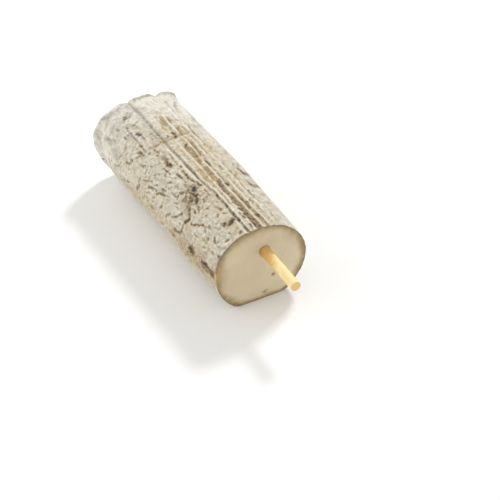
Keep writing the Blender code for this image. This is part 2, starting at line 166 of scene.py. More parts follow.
# Dark marks in the rind, and broad rows of painted shade: back, phi, to back, to phi, half width,
# depth, darkness
DARK_MARKS = (
    # main groove; its broad faint rows are painted shade of a wider, shallower groove
    (0, 102.7, 35.2, 102, 0.42, 0.3, 0.5),
    (11.7, 104.2, 44.4, 103.9, 0.9, 0.05, 0.22),
    (35.2, 102.2, 47.3, 104.6, 0.42, 0.25, 0.42),
    (47.3, 104.6, 52, 103.5, 0.42, 0.2, 0.55),
    (52, 103.4, 61.2, 103.6, 0.75, 0.2, 0.42),
    (61.2, 103.6, 66.2, 103.4, 0.6, 0.2, 0.28),
    (66.2, 103.4, 72, 104.2, 0.7, 0.2, 0.46),
    (72, 104, 84, 104.8, 0.95, 0.2, 0.28),
    (80, 104.6, 103.8, 103.6, 2.1, 0.05, 0.32),
    (86, 104.1, 101, 103, 0.6, 0.0, 0.36),
    (103.8, 103.2, 112.7, 102.3, 2.2, 0.05, 0.3),
    (109.8, 102.7, 118.8, 106.3, 2.2, 0.1, 0.3),
    (99.8, 102.7, 107.7, 101.3, 0.7, 0.05, 0.28),
    (1.7, 102.6, 4.8, 102.5, 0.55, 0.3, 1.0),
    (9.6, 102.6, 10.8, 102.5, 0.55, 0.3, 1.0),
    (13.9, 102.1, 16.1, 102.1, 0.55, 0.3, 1.0),
    (21.2, 102.2, 23.9, 102.2, 0.5, 0.3, 0.85),
    (30.5, 102.4, 31.9, 102.4, 0.5, 0.3, 0.85),
    # second line
    (2.7, 95.8, 4.3, 95.6, 0.5, 0.15, 0.72),
    (9.9, 95.8, 11.3, 96, 0.5, 0.15, 0.75),
    (12.8, 96.1, 14.4, 96.1, 0.42, 0.15, 0.5),
    (21.5, 96.7, 31.1, 97.1, 0.45, 0.15, 0.36),
    (37.6, 98.1, 38.6, 96.9, 0.45, 0.15, 0.4),
    (41.8, 99.6, 46.6, 99.6, 0.4, 0.12, 0.35),
    # third line
    (0.5, 89.8, 12, 90.6, 0.75, 0.1, 0.6),
    (12, 90.8, 27.2, 91.4, 0.68, 0.1, 0.56),
    (29.2, 91.7, 38.8, 91.3, 0.68, 0.1, 0.58),
    (0.5, 91.7, 6.4, 92, 0.45, 0.2, 0.8),
    (7.2, 92, 9.6, 92.3, 0.5, 0.2, 0.74),
    (10.4, 92.5, 13.3, 92.9, 0.5, 0.2, 0.85),
    (15.3, 92.6, 17.9, 93.1, 0.5, 0.2, 0.85),
    (16.6, 91.1, 17.6, 92.1, 0.5, 0.15, 0.7),
    (20.4, 92.9, 23.4, 93.3, 0.45, 0.2, 0.8),
    (24.7, 93, 26.5, 92.8, 0.4, 0.15, 0.66),
    (31.1, 93, 34.2, 93.1, 0.45, 0.15, 0.7),
    (4.9, 88.8, 8, 89.2, 0.4, 0.1, 0.55),
    (19.1, 90.1, 22.1, 90.3, 0.4, 0.1, 0.5),
    (35.6, 91.9, 37.8, 91.5, 0.7, 0.15, 0.7),
    (39.2, 89.8, 41, 89.9, 0.7, 0.2, 0.7),
    (46, 91.2, 52.8, 91.2, 0.6, 0.12, 0.42),
    (57.2, 91.7, 59.4, 91.4, 0.6, 0.12, 0.5),
    (62.2, 89.7, 63.2, 93.1, 0.6, 0.12, 0.58),
    (69.8, 90, 70.4, 92.5, 0.4, 0.12, 0.45),
    (73.2, 89.8, 71.2, 92.1, 0.42, 0.2, 0.95),
    (63.2, 89.2, 70, 89.3, 0.3, 0.12, 0.4),
    (62.1, 90.6, 65.6, 90.5, 0.6, 0.1, 0.36),
    (66.4, 91.8, 70.8, 91.3, 0.7, 0.1, 0.36),
    (96, 91.8, 93, 92, 0.9, 0.1, 0.42),
    (41.2, 93.2, 52.6, 93.1, 0.4, 0.12, 0.42),
    (85.4, 91.2, 83, 91.6, 0.52, 0.2, 0.85),
    (83, 91.6, 81, 91.9, 0.52, 0.2, 0.75),
    (98, 90.8, 95.6, 91.4, 0.45, 0.15, 0.36),
    (100.5, 93.7, 101.9, 90.9, 0.35, 0.1, 0.3),
    # fourth line
    (0.9, 80.2, 4.9, 81.4, 0.9, 0.15, 0.5),
    (6.3, 81.2, 9.6, 82.5, 0.9, 0.15, 0.72),
    (11.1, 82.3, 13.6, 83.4, 0.6, 0.15, 0.45),
    (15.6, 84, 19.7, 82.4, 0.95, 0.15, 0.74),
    (20.7, 84.1, 25.9, 84.9, 0.75, 0.15, 0.72),
    (27.3, 84.8, 31.6, 83.9, 0.6, 0.15, 0.5),
    (36, 84.7, 36.8, 84.8, 0.95, 0.25, 1.3),
    (38.8, 84.7, 41.2, 85, 0.55, 0.15, 0.5),
    (42.8, 85.6, 45.6, 86, 0.62, 0.12, 0.5),
    (47.8, 85, 49.4, 85.2, 0.5, 0.1, 0.34),
    (51.4, 85.7, 53.8, 85.9, 0.55, 0.15, 0.55),
    (53, 85.9, 56.6, 85.2, 0.7, 0.2, 0.9),
    (58.2, 84.8, 59.4, 84.6, 0.45, 0.12, 0.34),
    (62.1, 85.9, 65, 85.2, 0.55, 0.15, 0.62),
    (63.4, 85.1, 64.2, 82.4, 0.45, 0.15, 0.45),
    (65, 85.2, 73.5, 84.1, 0.7, 0.15, 0.48),
    (87.4, 82.6, 85, 83, 0.7, 0.15, 0.42),
    (84, 83.2, 82, 84, 0.5, 0.12, 0.4),
    (96.2, 84.1, 93.6, 84.6, 0.85, 0.12, 0.42),
    # fifth line
    (20.8, 76.6, 22.8, 72.7, 0.5, 0.15, 0.5),
    (18.6, 74.8, 20.4, 73.5, 0.5, 0.15, 0.55),
    (13.1, 73.6, 16.4, 73.3, 0.5, 0.15, 0.48),
    (9.9, 72.7, 11.9, 72.5, 0.45, 0.12, 0.3),
    (6.2, 70.5, 5.2, 72.1, 0.45, 0.12, 0.5),
    (3.8, 70.2, 2.6, 71.6, 0.45, 0.12, 0.5),
    (27.7, 75.9, 33.4, 76.4, 0.5, 0.12, 0.34),
    (36.4, 75.4, 35.3, 77.3, 0.4, 0.1, 0.34),
    (39.9, 76.3, 38.8, 77.1, 0.4, 0.1, 0.34),
    (47.7, 77.1, 51.2, 76.2, 0.5, 0.15, 0.55),
    (45.6, 78.9, 43.5, 78.1, 0.4, 0.1, 0.3),
    (42.1, 77.7, 40.3, 81.1, 0.35, 0.1, 0.3),
    (55.3, 76, 57.9, 77, 0.4, 0.1, 0.3),
    (62.2, 77.3, 69.9, 77.8, 0.55, 0.15, 0.46),
    (73.9, 76.8, 79.6, 76.6, 0.5, 0.1, 0.28),
    (82.7, 76.8, 87.7, 76.4, 0.5, 0.12, 0.32),
    (93.6, 77.4, 98.4, 76.9, 0.45, 0.1, 0.28),
    (103, 77.5, 104.5, 76.6, 0.4, 0.1, 0.28),
    # sixth line
    (25.5, 67.8, 29, 66.8, 0.55, 0.15, 0.55),
    (22.7, 67.2, 25.1, 65.3, 0.5, 0.15, 0.45),
    (20, 65.5, 21.5, 65.3, 0.45, 0.12, 0.42),
    (11.2, 63.3, 7.7, 64.2, 0.6, 0.12, 0.45),
    (6.3, 62.8, 3.3, 62.4, 0.5, 0.1, 0.3),
    (30.6, 69, 35.3, 69.3, 0.45, 0.12, 0.34),
    (44.1, 70, 45.6, 69, 0.5, 0.15, 0.5),
    (45.6, 69.6, 54, 69.1, 0.5, 0.1, 0.3),
    (41.6, 68.1, 43, 63.9, 0.7, 0.15, 0.42),
    (71, 69.5, 68.8, 71.7, 0.55, 0.15, 0.6),
    (71, 69.5, 75.9, 69.3, 0.5, 0.1, 0.36),
    (76.9, 69.6, 85.6, 69.1, 0.65, 0.12, 0.46),
    (85.6, 69.1, 89.2, 66.1, 0.6, 0.12, 0.42),
    (94, 69.4, 97.6, 70.9, 0.4, 0.1, 0.26),
    (99.6, 71.3, 106.9, 68.8, 0.5, 0.1, 0.3),
    (108.9, 68.6, 114, 67.7, 0.7, 0.1, 0.3),
    # crease across the top
    (81.7, 75.2, 81.1, 92.8, 0.5, 0.15, 0.28),
    (81.1, 92.8, 80.2, 102.6, 0.6, 0.2, 0.42),
    (80.2, 102.6, 81.2, 114.9, 0.5, 0.15, 0.3),
    (81.2, 114.9, 82.6, 127.9, 0.5, 0.15, 0.24),
    (83.6, 97.5, 82.8, 98.2, 0.4, 0.2, 0.85),
    # right flank; the third row of each of the first two creases is painted shade beside it
    (47.4, 54, 45, 48, 1.0, 0.25, 0.72),
    (45, 48, 46.6, 40, 1.1, 0.2, 0.6),
    (46.3, 46.7, 47.6, 40, 1.3, 0.1, 0.3),
    (35.5, 55.6, 34.7, 49.2, 1.0, 0.25, 0.72),
    (34.7, 49.2, 36, 40, 1.0, 0.2, 0.6),
    (35.9, 46.9, 37.2, 40, 1.2, 0.1, 0.28),
    (48, 38, 44, 45.8, 1.5, 0.1, 0.3),
    (54, 44, 49.7, 51.2, 1.0, 0.1, 0.3),
    (30, 40, 27, 48.1, 1.2, 0.1, 0.28),
    (22, 44, 19.1, 52.3, 0.9, 0.1, 0.26),
    (66, 42, 61.9, 51.8, 1.2, 0.1, 0.26),
    (95.9, 47.5, 92.1, 55.4, 1.1, 0.1, 0.26),
    (53.1, 53.8, 50.4, 57.5, 0.5, 0.12, 0.36),
    (27.3, 52, 24.4, 56.5, 0.5, 0.12, 0.3),
    (30.6, 58, 28.7, 61.4, 0.45, 0.12, 0.36),
    (69.1, 63.1, 65.7, 66.9, 0.5, 0.12, 0.3),
    (113.1, 51.7, 105.7, 63.1, 0.75, 0.2, 0.42),
    (90.2, 56.4, 83.9, 63.6, 0.5, 0.1, 0.25),
    (60.9, 59.5, 57, 63.3, 0.45, 0.1, 0.25),
    # left of the main groove
    (60, 110, 59, 110, 0.45, 0.25, 0.6),
    (56.6, 112.2, 55.4, 112.6, 0.5, 0.25, 0.75),
    (54.6, 112.8, 50, 112.2, 0.5, 0.25, 0.78),
    (50, 112.2, 46.2, 111.4, 0.48, 0.25, 0.82),
    (68.9, 111, 66.3, 111.6, 0.4, 0.25, 0.55),
    (64.9, 111.9, 62.6, 111.7, 0.36, 0.25, 0.5),
    (47.8, 121.6, 46.5, 122.7, 0.45, 0.25, 0.6),
    (44.4, 121.6, 43.4, 124.1, 0.5, 0.3, 0.7),
    (39.9, 126, 39.3, 128.9, 0.55, 0.3, 0.7),
    (43.4, 127.4, 42.6, 129.3, 0.45, 0.3, 0.65),
    (40.5, 133.4, 39.5, 135.7, 0.5, 0.3, 0.65),
    (37.4, 115.5, 36.4, 117.4, 0.4, 0.25, 0.5),
    (43.5, 118.1, 37.1, 125.9, 2.6, 0.05, 0.42),
    (38.1, 127.9, 35.6, 140.6, 1.9, 0.05, 0.42),
    (41, 111.8, 33, 111.9, 2.2, 0.04, 0.2),
    (46.4, 137.7, 45.5, 140.5, 0.45, 0.3, 0.6),
    (38.2, 108.1, 33.1, 108.5, 0.35, 0.2, 0.55),
    (45, 109, 43.5, 108.7, 0.45, 0.3, 0.85),
    (42.7, 108.3, 41.6, 108, 0.4, 0.3, 0.75),
    (22.3, 109.9, 21.1, 109.9, 0.5, 0.3, 0.75),
    (24.8, 112.3, 22.8, 109.5, 0.4, 0.2, 0.5),
    (11.9, 107.1, 10.5, 112.9, 0.98, 0.5, 1.2),
    (12.8, 116.7, 11.6, 119, 0.65, 0.4, 1.1),
    (8.9, 109.1, 8.6, 109.7, 0.35, 0.2, 0.6),
    (3.1, 109, 2.1, 110.9, 0.4, 0.2, 0.7),
    (19.9, 116.4, 18.5, 117.2, 0.42, 0.3, 0.8),
    (27.2, 121.3, 26.7, 120.1, 0.42, 0.3, 0.65),
    (33, 116.4, 31.4, 118.2, 0.5, 0.3, 0.65),
    (31, 127.1, 30.4, 128.9, 0.55, 0.3, 0.7),
    (31.3, 134.2, 29.8, 135.6, 0.45, 0.3, 0.65),
    (36.1, 123.9, 34.7, 125.4, 1.0, 0.5, 1.15),
    (42.5, 116.4, 41.8, 118.1, 1.05, 0.5, 1.2),
    (45.3, 117.6, 42.9, 117.7, 0.5, 0.3, 0.7),
    (42.1, 123.5, 38, 121, 0.6, 0.4, 0.85),
    (38.2, 119, 37.1, 122, 0.7, 0.3, 0.92),
    (37.9, 127.9, 37.5, 133.6, 0.65, 0.4, 0.92),
    (37.5, 133.6, 36.8, 138.6, 0.5, 0.4, 0.6),
    (34.9, 137.9, 34.1, 138.8, 0.65, 0.4, 0.9),
    (34.1, 138.8, 31.3, 147.2, 0.5, 0.5, 0.75),
    (32.9, 142.1, 31.9, 145.1, 0.65, 0.4, 1.0),
    (31.3, 147.7, 33, 155.7, 0.6, 0.5, 1.0),
    (33, 155.7, 33.8, 169.7, 0.5, 0.5, 0.62),
    (33.8, 169.7, 34.6, 172.5, 0.65, 0.4, 0.85),
    (34.6, 172.5, 39.5, 175.6, 0.55, 0.4, 0.75),
    (28.8, 150.4, 26.7, 148.4, 0.5, 0.4, 0.9),
    (26.7, 148.4, 21.5, 138.7, 0.42, 0.4, 0.65),
    (21.5, 138.7, 19.2, 137.7, 0.4, 0.3, 0.55),
    (19.2, 137.7, 18, 142.2, 0.42, 0.3, 0.5),
    (17.9, 133.3, 17.3, 134.3, 0.5, 0.35, 0.75),
    (14.2, 147, 13.2, 145.4, 0.5, 0.35, 0.7),
    (14, 145, 14.1, 139.5, 0.4, 0.25, 0.4),
    (10.7, 137.6, 8.9, 142.4, 0.42, 0.35, 0.65),
    (6.4, 142.1, 4.5, 142.1, 0.38, 0.25, 0.45),
    (10.2, 130.6, 8.4, 131.1, 0.36, 0.2, 0.35),
    (3.6, 127.1, 3.3, 125.3, 0.4, 0.25, 0.6),
    (6.2, 120.1, 4.8, 120.1, 0.36, 0.25, 0.6),
    (15.1, 130, 10.9, 124.4, 0.3, 0.2, 0.35),
    (16.8, 152.5, 14, 150.1, 0.35, 0.2, 0.4),
    (8.3, 154.2, 6.5, 153, 0.35, 0.2, 0.45),
    (1.7, 151, 0.9, 150, 0.6, 0.3, 0.8),
    (23.5, 155.5, 22.1, 155.9, 0.45, 0.2, 0.4),
    (12, 172.3, 11.3, 161.3, 0.38, 0.2, 0.45),
    (11.3, 161.3, 9.5, 153.7, 0.38, 0.2, 0.3),
    (44.1, 165.5, 41.2, 161.9, 0.42, 0.35, 0.5),
    (41.2, 161.9, 36.8, 149.6, 0.42, 0.5, 0.85),
    (42.5, 149.9, 40.5, 148.3, 0.36, 0.25, 0.5),
    (41.7, 130.9, 41.3, 136.5, 0.8, 0.35, 0.65),
    (45.9, 132.9, 45, 130.5, 0.6, 0.4, 0.8),
    (45.7, 147.6, 43.5, 145.7, 0.4, 0.25, 0.45),
    (49.2, 173.5, 47.3, 167.9, 0.36, 0.3, 0.55),
    (47.3, 167.9, 45.9, 164.7, 0.45, 0.35, 0.85),
    (55.2, 171.3, 53.3, 165.2, 0.4, 0.3, 0.65),
    (60.1, 159.1, 57.8, 154.4, 0.48, 0.5, 0.85),
    (57.8, 154.4, 54.4, 151.7, 0.42, 0.45, 0.75),
    (67.5, 160.8, 64.8, 157.8, 0.45, 0.5, 0.85),
    (64.8, 157.8, 60.9, 155.8, 0.4, 0.45, 0.75),
    (73.6, 161, 69.8, 155.9, 0.36, 0.35, 0.5),
    (69.8, 155.9, 66.5, 151.4, 0.38, 0.35, 0.6),
    (68.7, 170.4, 66, 166.2, 0.4, 0.25, 0.45),
    (62.2, 168.5, 60.8, 165.4, 0.45, 0.25, 0.45),
    (78.9, 178.8, 76, 171.2, 0.7, 0.35, 0.65),
    (76.9, 169.3, 76.3, 161.7, 0.36, 0.2, 0.4),
    (57.6, 147.9, 55.1, 145.6, 0.4, 0.35, 0.8),
    (53.3, 151, 50.9, 147.9, 0.34, 0.25, 0.4),
    (50.3, 152.5, 49, 151.6, 0.34, 0.25, 0.4),
    (50.6, 141.8, 47, 140.7, 0.34, 0.25, 0.5),
    (56.9, 137.2, 55, 132.3, 0.42, 0.3, 0.55),
    (61.8, 133.1, 60.5, 133.1, 0.36, 0.2, 0.4),
    (65.3, 127.5, 62.8, 127.2, 0.42, 0.3, 0.7),
    (62.8, 127.2, 59.7, 126.8, 0.34, 0.25, 0.45),
    (71.4, 118.6, 68.6, 119, 0.95, 0.25, 0.55),
    (68.6, 119.4, 66.5, 120.6, 0.7, 0.4, 0.75),
    (65.2, 120.6, 64.3, 119.6, 0.95, 0.45, 1.05),
    (56.7, 120, 52.7, 119.4, 0.42, 0.35, 0.85),
    (52.7, 119.4, 48.7, 119, 0.32, 0.25, 0.5),
    (79.5, 120.5, 78.4, 120.9, 0.5, 0.3, 0.8),
    (76.9, 119.9, 76, 120.1, 0.48, 0.3, 0.75),
    (80.2, 129.4, 79.6, 128.8, 0.42, 0.3, 0.55),
    (79.3, 148.1, 77.6, 146.7, 0.4, 0.3, 0.6),
    (77.6, 146.7, 76.4, 143.3, 0.45, 0.3, 0.65),
    (85.1, 136.4, 83.4, 136, 0.55, 0.35, 0.8),
    (82.8, 136.4, 81.8, 135.8, 0.45, 0.3, 0.6),
    (84.8, 145.6, 83.5, 138.5, 0.42, 0.3, 0.5),
    (73.8, 150.9, 73.6, 144.8, 0.4, 0.2, 0.4),
    (67.7, 143.7, 65.5, 136.7, 0.36, 0.25, 0.42),
    (72.9, 138.1, 71.9, 137.2, 0.42, 0.3, 0.5),
    (90.9, 161.5, 88.4, 160.1, 0.6, 0.35, 0.7),
    (88.4, 160.1, 87.2, 154.8, 0.42, 0.3, 0.6),
    (87.6, 154.4, 86.6, 153, 0.6, 0.35, 0.7),
    (97.7, 164.5, 96.1, 159.6, 0.55, 0.3, 0.65),
    (101.9, 180, 96.8, 174.2, 0.4, 0.3, 0.5),
    (96.8, 174.2, 95.1, 167.4, 0.4, 0.3, 0.45),
    (113.3, 161.1, 110.7, 158.2, 0.8, 0.3, 0.62),
    (109.9, 157.3, 107.8, 156.4, 0.6, 0.3, 0.5),
    (107.7, 154.2, 105.4, 152.3, 0.8, 0.3, 0.4),
    (111.3, 153.1, 110, 150, 0.7, 0.2, 0.3),
    (113.9, 163.6, 107.9, 159.4, 1.6, 0.1, 0.3),
    (104.2, 156, 98.8, 168.4, 1.8, 0.1, 0.28),
    (96, 150, 90, 158, 1.8, 0.05, 0.22),
    (112, 147, 105, 150, 1.8, 0.05, 0.22),
    (109, 139.1, 107, 138.3, 0.5, 0.25, 0.55),
    (100.4, 139, 98.3, 138.7, 0.42, 0.3, 0.6),
    (99.6, 133.5, 98.9, 132.3, 0.55, 0.3, 0.6),
    (103.7, 128, 102.9, 127.5, 0.45, 0.3, 0.6),
    (102.8, 129.5, 97.4, 129.4, 0.36, 0.2, 0.48),
    (97.4, 129.4, 93.3, 129.5, 0.4, 0.25, 0.6),
    (93.3, 129.5, 83.9, 130.9, 0.34, 0.2, 0.42),
    (87.7, 130.2, 87, 129.6, 0.5, 0.3, 0.75),
    (95.9, 123.2, 93.6, 120.6, 0.75, 0.4, 0.8),
    (93.6, 120.6, 88.6, 120.6, 0.36, 0.25, 0.5),
    (110.4, 121, 109.6, 121.6, 0.8, 0.4, 1.1),
    (109.5, 121.2, 108.7, 116.3, 0.5, 0.3, 0.6),
    (108.7, 116.3, 110.3, 111.2, 0.6, 0.3, 0.6),
    (110.3, 111.2, 112.5, 113.9, 0.42, 0.2, 0.4),
    (102.3, 119.1, 101.5, 118.5, 0.5, 0.3, 0.65),
    (86.4, 113.1, 85.9, 113.8, 0.45, 0.2, 0.5),
    (119, 121.5, 117.9, 120.9, 0.6, 0.2, 0.4),
    (110.6, 147.9, 109.4, 144.3, 0.4, 0.2, 0.35),
    (99.9, 170.7, 97.7, 166.9, 0.4, 0.2, 0.35),
    # left flank near the cut
    (14.2, 173, 13.4, 177.4, 0.5, 0.3, 0.6),
    (13.2, 178.8, 10.6, 175.7, 0.8, 0.45, 1.0),
    (10.6, 175.2, 9, 173.6, 0.65, 0.45, 1.0),
    (12.2, 181.3, 8.1, 180.2, 1.1, 0.35, 0.62),
    (10.4, 177.9, 7.1, 178.5, 0.95, 0.45, 0.8),
    (7.1, 178.2, 3.7, 176.4, 0.85, 0.4, 0.95),
    (5.5, 181, 4.1, 180.1, 0.7, 0.3, 0.85),
    (2.5, 176, 0.6, 170, 0.5, 0.2, 0.5),
    (0.5, 147.8, 0.6, 172, 0.4, 0.2, 0.7),
    (2.3, 150.2, 0.9, 151, 0.4, 0.3, 0.75),
    (24.4, 177.2, 22.4, 177.6, 1.25, 0.3, 1.0),
    (23.2, 173.2, 22.6, 175.1, 0.8, 0.25, 0.7),
    (26, 188.6, 25.4, 188.8, 0.5, 0.2, 0.4),
    (30.4, 171.6, 25.2, 170.3, 0.4, 0.2, 0.3),
    (15.4, 150, 13.6, 153, 0.4, 0.2, 0.35),
    (10.7, 159.4, 10.2, 166.8, 0.35, 0.3, 0.5),
    (30, 193, 25.4, 184.1, 0.6, 0.2, 0.35),
    (39.9, 176.6, 38.4, 174.6, 0.75, 0.3, 0.75),
    (44, 184.1, 40, 182.1, 1.2, 0.15, 0.4),
    (64, 180.9, 61.6, 179.9, 0.8, 0.2, 0.45),
    (18, 188, 13, 186, 1.4, 0.1, 0.3),
    (3.1, 176, 32.8, 178.3, 4.4, 0.03, 0.28),
    (38, 177, 74, 178, 4.6, 0.03, 0.1),
    (3, 115.4, 34, 116.4, 3.4, 0.02, 0.1),
    (31.8, 178.3, 37.6, 171.4, 2.6, 0.03, 0.16),
    # far rim: dark marks, and in the broad rows along the rim's edge painted shade where it turns away
    (121.6, 66, 121.8, 44, 1.6, 0.05, 0.28),
    (121.4, 45, 121.4, 35, 1.3, 0.1, 0.4),
    # painted shade in the rack mark at phi 69
    (108, 69, 90, 69.4, 1.7, 0.05, 0.16),
    (120.5, 79.9, 120.5, 96.6, 1.4, 0.1, 0.4),
    (120.1, 82.9, 119.8, 84.8, 0.7, 0.15, 0.5),
    (120.1, 88.6, 120.3, 91.6, 0.6, 0.15, 0.42),
    (120.3, 108.5, 119.8, 117.7, 0.9, 0.15, 0.28),
    (119.8, 117.7, 119.5, 136.6, 1.1, 0.12, 0.26),
    (119.3, 118.8, 118.9, 121.3, 0.7, 0.25, 0.5),
    (119.5, 136.6, 120.9, 142.8, 1.0, 0.12, 0.36),
    (120.9, 142.8, 121.3, 159.8, 1.0, 0.1, 0.22),
    (120.9, 159.8, 117.3, 175.7, 0.9, 0.12, 0.3),
    (113, 126, 109, 133, 2.4, 0.03, 0.2),
    (106.5, 141, 103, 147, 2.2, 0.03, 0.2),
    (117.3, 175.7, 116, 184.1, 0.5, 0.2, 0.3),
    (106.5, 166, 101.4, 159.3, 0.8, 0.2, 0.3),
    (114.1, 156, 111, 165.9, 0.7, 0.2, 0.3),
)

# Ochre stains: back, phi, to back, to phi, half width, strength
TAN_STAINS = (
    (110, 96, 107.6, 95.4, 0.9, 0.3),
    (106, 93, 104, 92.6, 1.0, 0.3),
    (102, 120, 97.4, 117.6, 1.3, 0.45),
    (95.6, 146.8, 94.8, 147.6, 0.8, 0.95),
    (104.4, 133, 103.8, 134, 0.5, 0.4),
    (90.4, 141, 89.8, 142, 0.5, 0.45),
    (89, 114, 86, 115, 0.9, 0.25),
    (41.6, 97.6, 52.1, 97.8, 1.1, 0.85),
    (56, 97.6, 71.8, 97, 0.6, 0.4),
    (41.8, 91.3, 61.1, 91.3, 0.85, 1.0),
    (61.1, 91, 70.4, 91, 1.2, 0.92),
    (43.2, 88.8, 60.3, 88.3, 0.5, 0.45),
    (88.2, 92, 92, 92.2, 1.2, 0.9),
    (92, 92, 99.4, 91.2, 1.25, 0.95),
    (82.4, 83.6, 88.6, 82.6, 1.2, 0.95),
    (92.6, 84.6, 97.2, 84, 1.2, 0.92),
    (82.7, 76.8, 87.7, 76.5, 0.7, 0.6),
    (79.7, 73.2, 82.1, 86.5, 0.9, 0.4),
    (76.1, 84.2, 78.7, 79.3, 0.8, 0.4),
    (61.9, 76.2, 65.9, 76.2, 0.5, 0.4),
    (58.7, 70.2, 65.1, 69.1, 0.8, 0.7),
    (41.6, 67.4, 44.6, 63.8, 1.0, 0.65),
    (33.6, 58.4, 36.9, 53.6, 0.9, 0.7),
    (37.9, 56.5, 39.9, 46.9, 1.0, 0.35),
    (18.5, 57.6, 20.5, 54.3, 0.7, 0.35),
    (66.1, 70, 89.6, 69, 0.9, 0.5),
    (107.7, 62.1, 113.1, 50.7, 0.8, 0.3),
    (0.5, 90.4, 38.2, 91.5, 1.0, 0.88),
    (16, 89.8, 27.2, 90.2, 0.6, 0.5),
    (0.5, 94.5, 38.2, 95.4, 3.2, 0.12),
    (36.3, 89, 80.1, 88.2, 4.6, 0.42),
    (40.2, 96.2, 54.1, 95.8, 1.8, 0.4),
    (40.2, 88.8, 62.3, 88.8, 2.2, 0.4),
    (35.7, 71.4, 77.8, 71.2, 4.5, 0.3),
    (0.5, 78.9, 79.7, 77.2, 5.0, 0.34),
    (1.7, 110.9, 36.1, 110.9, 2.2, 0.28),
    (1.9, 158.4, 31.8, 163.3, 5.0, 0.1),
    (28.2, 90.5, 31.2, 91.4, 0.6, 0.9),
    (0.9, 80.4, 5.9, 81.3, 1.15, 0.75),
    (5.9, 81.7, 13.1, 83, 0.9, 0.45),
    (16.2, 83.4, 31.6, 84.1, 0.9, 0.7),
    (23, 96.9, 36.2, 98.1, 0.6, 0.3),
    (1.9, 78.9, 2.9, 74.9, 0.8, 0.25),
    (27.1, 75.9, 35.7, 76.4, 0.7, 0.35),
    (81.1, 92.8, 82.4, 117.2, 1.3, 0.44),
    (82.4, 117.2, 83.9, 129.9, 1.4, 0.36),
    (81.5, 64.7, 81.5, 88.2, 0.8, 0.4),
    (111.1, 116.8, 110.7, 115.9, 0.8, 0.75),
    (67.6, 182.9, 65.9, 177.8, 0.9, 0.75),
    (96, 192, 77, 190, 2.6, 0.6),
    (60, 184, 46, 178.3, 2.2, 0.3),
    (77.9, 179.8, 70, 183.9, 1.8, 0.3),
    (22, 184.1, 14, 190, 2.4, 0.35),
    (66.9, 179.2, 66.1, 178.6, 0.6, 0.8),
    (0.6, 174, 4.1, 177.9, 1.0, 0.5),
    (105, 190, 100.6, 184, 1.6, 0.4),
    (43.1, 179.3, 39.9, 174.8, 0.9, 0.6),
    (52.1, 181.1, 46.1, 179.3, 1.3, 0.35),
    (33.3, 135.3, 32.3, 131.9, 0.8, 0.6),
    (41.7, 130.5, 41.5, 136.9, 0.9, 0.5),
    (25.8, 134.2, 21.9, 138.5, 0.5, 0.4),
    (47.8, 124, 44.4, 124.1, 0.7, 0.35),
    (51.3, 130.2, 48.8, 130.8, 0.5, 0.35),
    (95.5, 145.8, 94.7, 146.2, 0.7, 0.5),
    (83.4, 145.2, 85.4, 146.6, 0.8, 0.4),
    (20.4, 177.4, 18.9, 178.8, 1.0, 0.8),
    (64, 180.9, 60, 184, 1.2, 0.5),
    (37, 183.1, 33, 186, 1.5, 0.5),
    (56, 186, 50, 188, 1.6, 0.35),
    (3, 172, 0.6, 175.9, 0.8, 0.6),
    (103.2, 90.3, 107.5, 93.7, 1.2, 0.3),
    (97.8, 117.4, 95.8, 113.1, 0.9, 0.3),
    (120.5, 78.9, 120.5, 98.5, 1.8, 0.3),
    (2, 187, 34, 187, 3.8, 0.54),
    (36, 182.1, 74, 183.9, 3.6, 0.34),
    (83.7, 73.2, 111.9, 72.2, 5.5, 0.14),
    (15.5, 177.3, 13.3, 173.9, 0.7, 0.5),
)

# Rust stains: back, phi, to back, to phi, half width, strength
RUST_STAINS = (
    (6.7, 178.7, 4.3, 176.8, 0.75, 1.0),
    (22.6, 175.8, 21, 176.8, 0.85, 1.0),
    (0.6, 156, 0.7, 173, 0.6, 0.6),
    (40.3, 175.2, 39.7, 173.6, 0.5, 0.6),
    (33.9, 139, 33.1, 140.4, 0.35, 0.5),
    (37, 136.6, 36.8, 138.6, 0.4, 0.4),
)

# Thin raised lines that the rack left between its marks, and flakes that stand up:
# back, phi, to back, to phi, half width, height
RACK_RIDGES = (
    (0, 105.9, 30.1, 105, 0.35, 0.12),
    (0, 100.6, 36.2, 100.1, 0.35, 0.14),
    (36.2, 100.8, 60.1, 102, 0.35, 0.12),
    (60.1, 102, 80, 102, 0.4, 0.12),
    (83.9, 101.7, 101.8, 100.5, 0.5, 0.14),
    (86, 107.1, 96.7, 106.7, 0.5, 0.12),
    (0, 94, 40.2, 94.5, 0.4, 0.16),
    (42.2, 94.1, 60.9, 94.1, 0.35, 0.1),
    (59.9, 94.9, 77.9, 94.7, 0.5, 0.12),
    (0, 86, 12.1, 87.2, 0.45, 0.18),
    (12.1, 87.2, 40.2, 87.9, 0.42, 0.16),
    (40.2, 88.8, 61.3, 88.4, 0.4, 0.14),
    (62.2, 87.7, 78.1, 87.1, 0.4, 0.12),
    (84, 87.4, 100, 86.8, 0.5, 0.12),
    (2.9, 77.5, 12, 78.9, 0.6, 0.14),
    (14, 78.9, 39.6, 79.7, 0.5, 0.14),
    (39.8, 82.5, 59.9, 83, 0.4, 0.08),
    (61.7, 80.4, 77.8, 80.3, 0.5, 0.12),
    (20.1, 70.6, 37.5, 72.9, 0.5, 0.14),
    (3.1, 68.1, 20, 68.9, 0.5, 0.12),
    (39.5, 73.5, 62, 74.4, 0.5, 0.12),
    (64, 74.2, 79.7, 72.7, 0.5, 0.12),
    (83.7, 72.6, 103.5, 73.6, 0.6, 0.1),
    (46, 108.6, 62.1, 107.8, 0.45, 0.16),
    (64.1, 107.9, 75, 107.7, 0.45, 0.12),
    (37.9, 106.2, 46.2, 106.4, 0.35, 0.12),
    (44.5, 112.2, 40.7, 110.7, 0.35, 0.16),
    (8.7, 169.2, 6.8, 174.3, 0.5, 0.3),
    (6, 169, 4.4, 173.7, 0.5, 0.3),
    (10.6, 165.2, 9.3, 169.2, 0.5, 0.25),
    (40.6, 118, 40, 122.1, 0.4, 0.2),
    (40.1, 129.9, 39.1, 133.7, 0.4, 0.2),
)

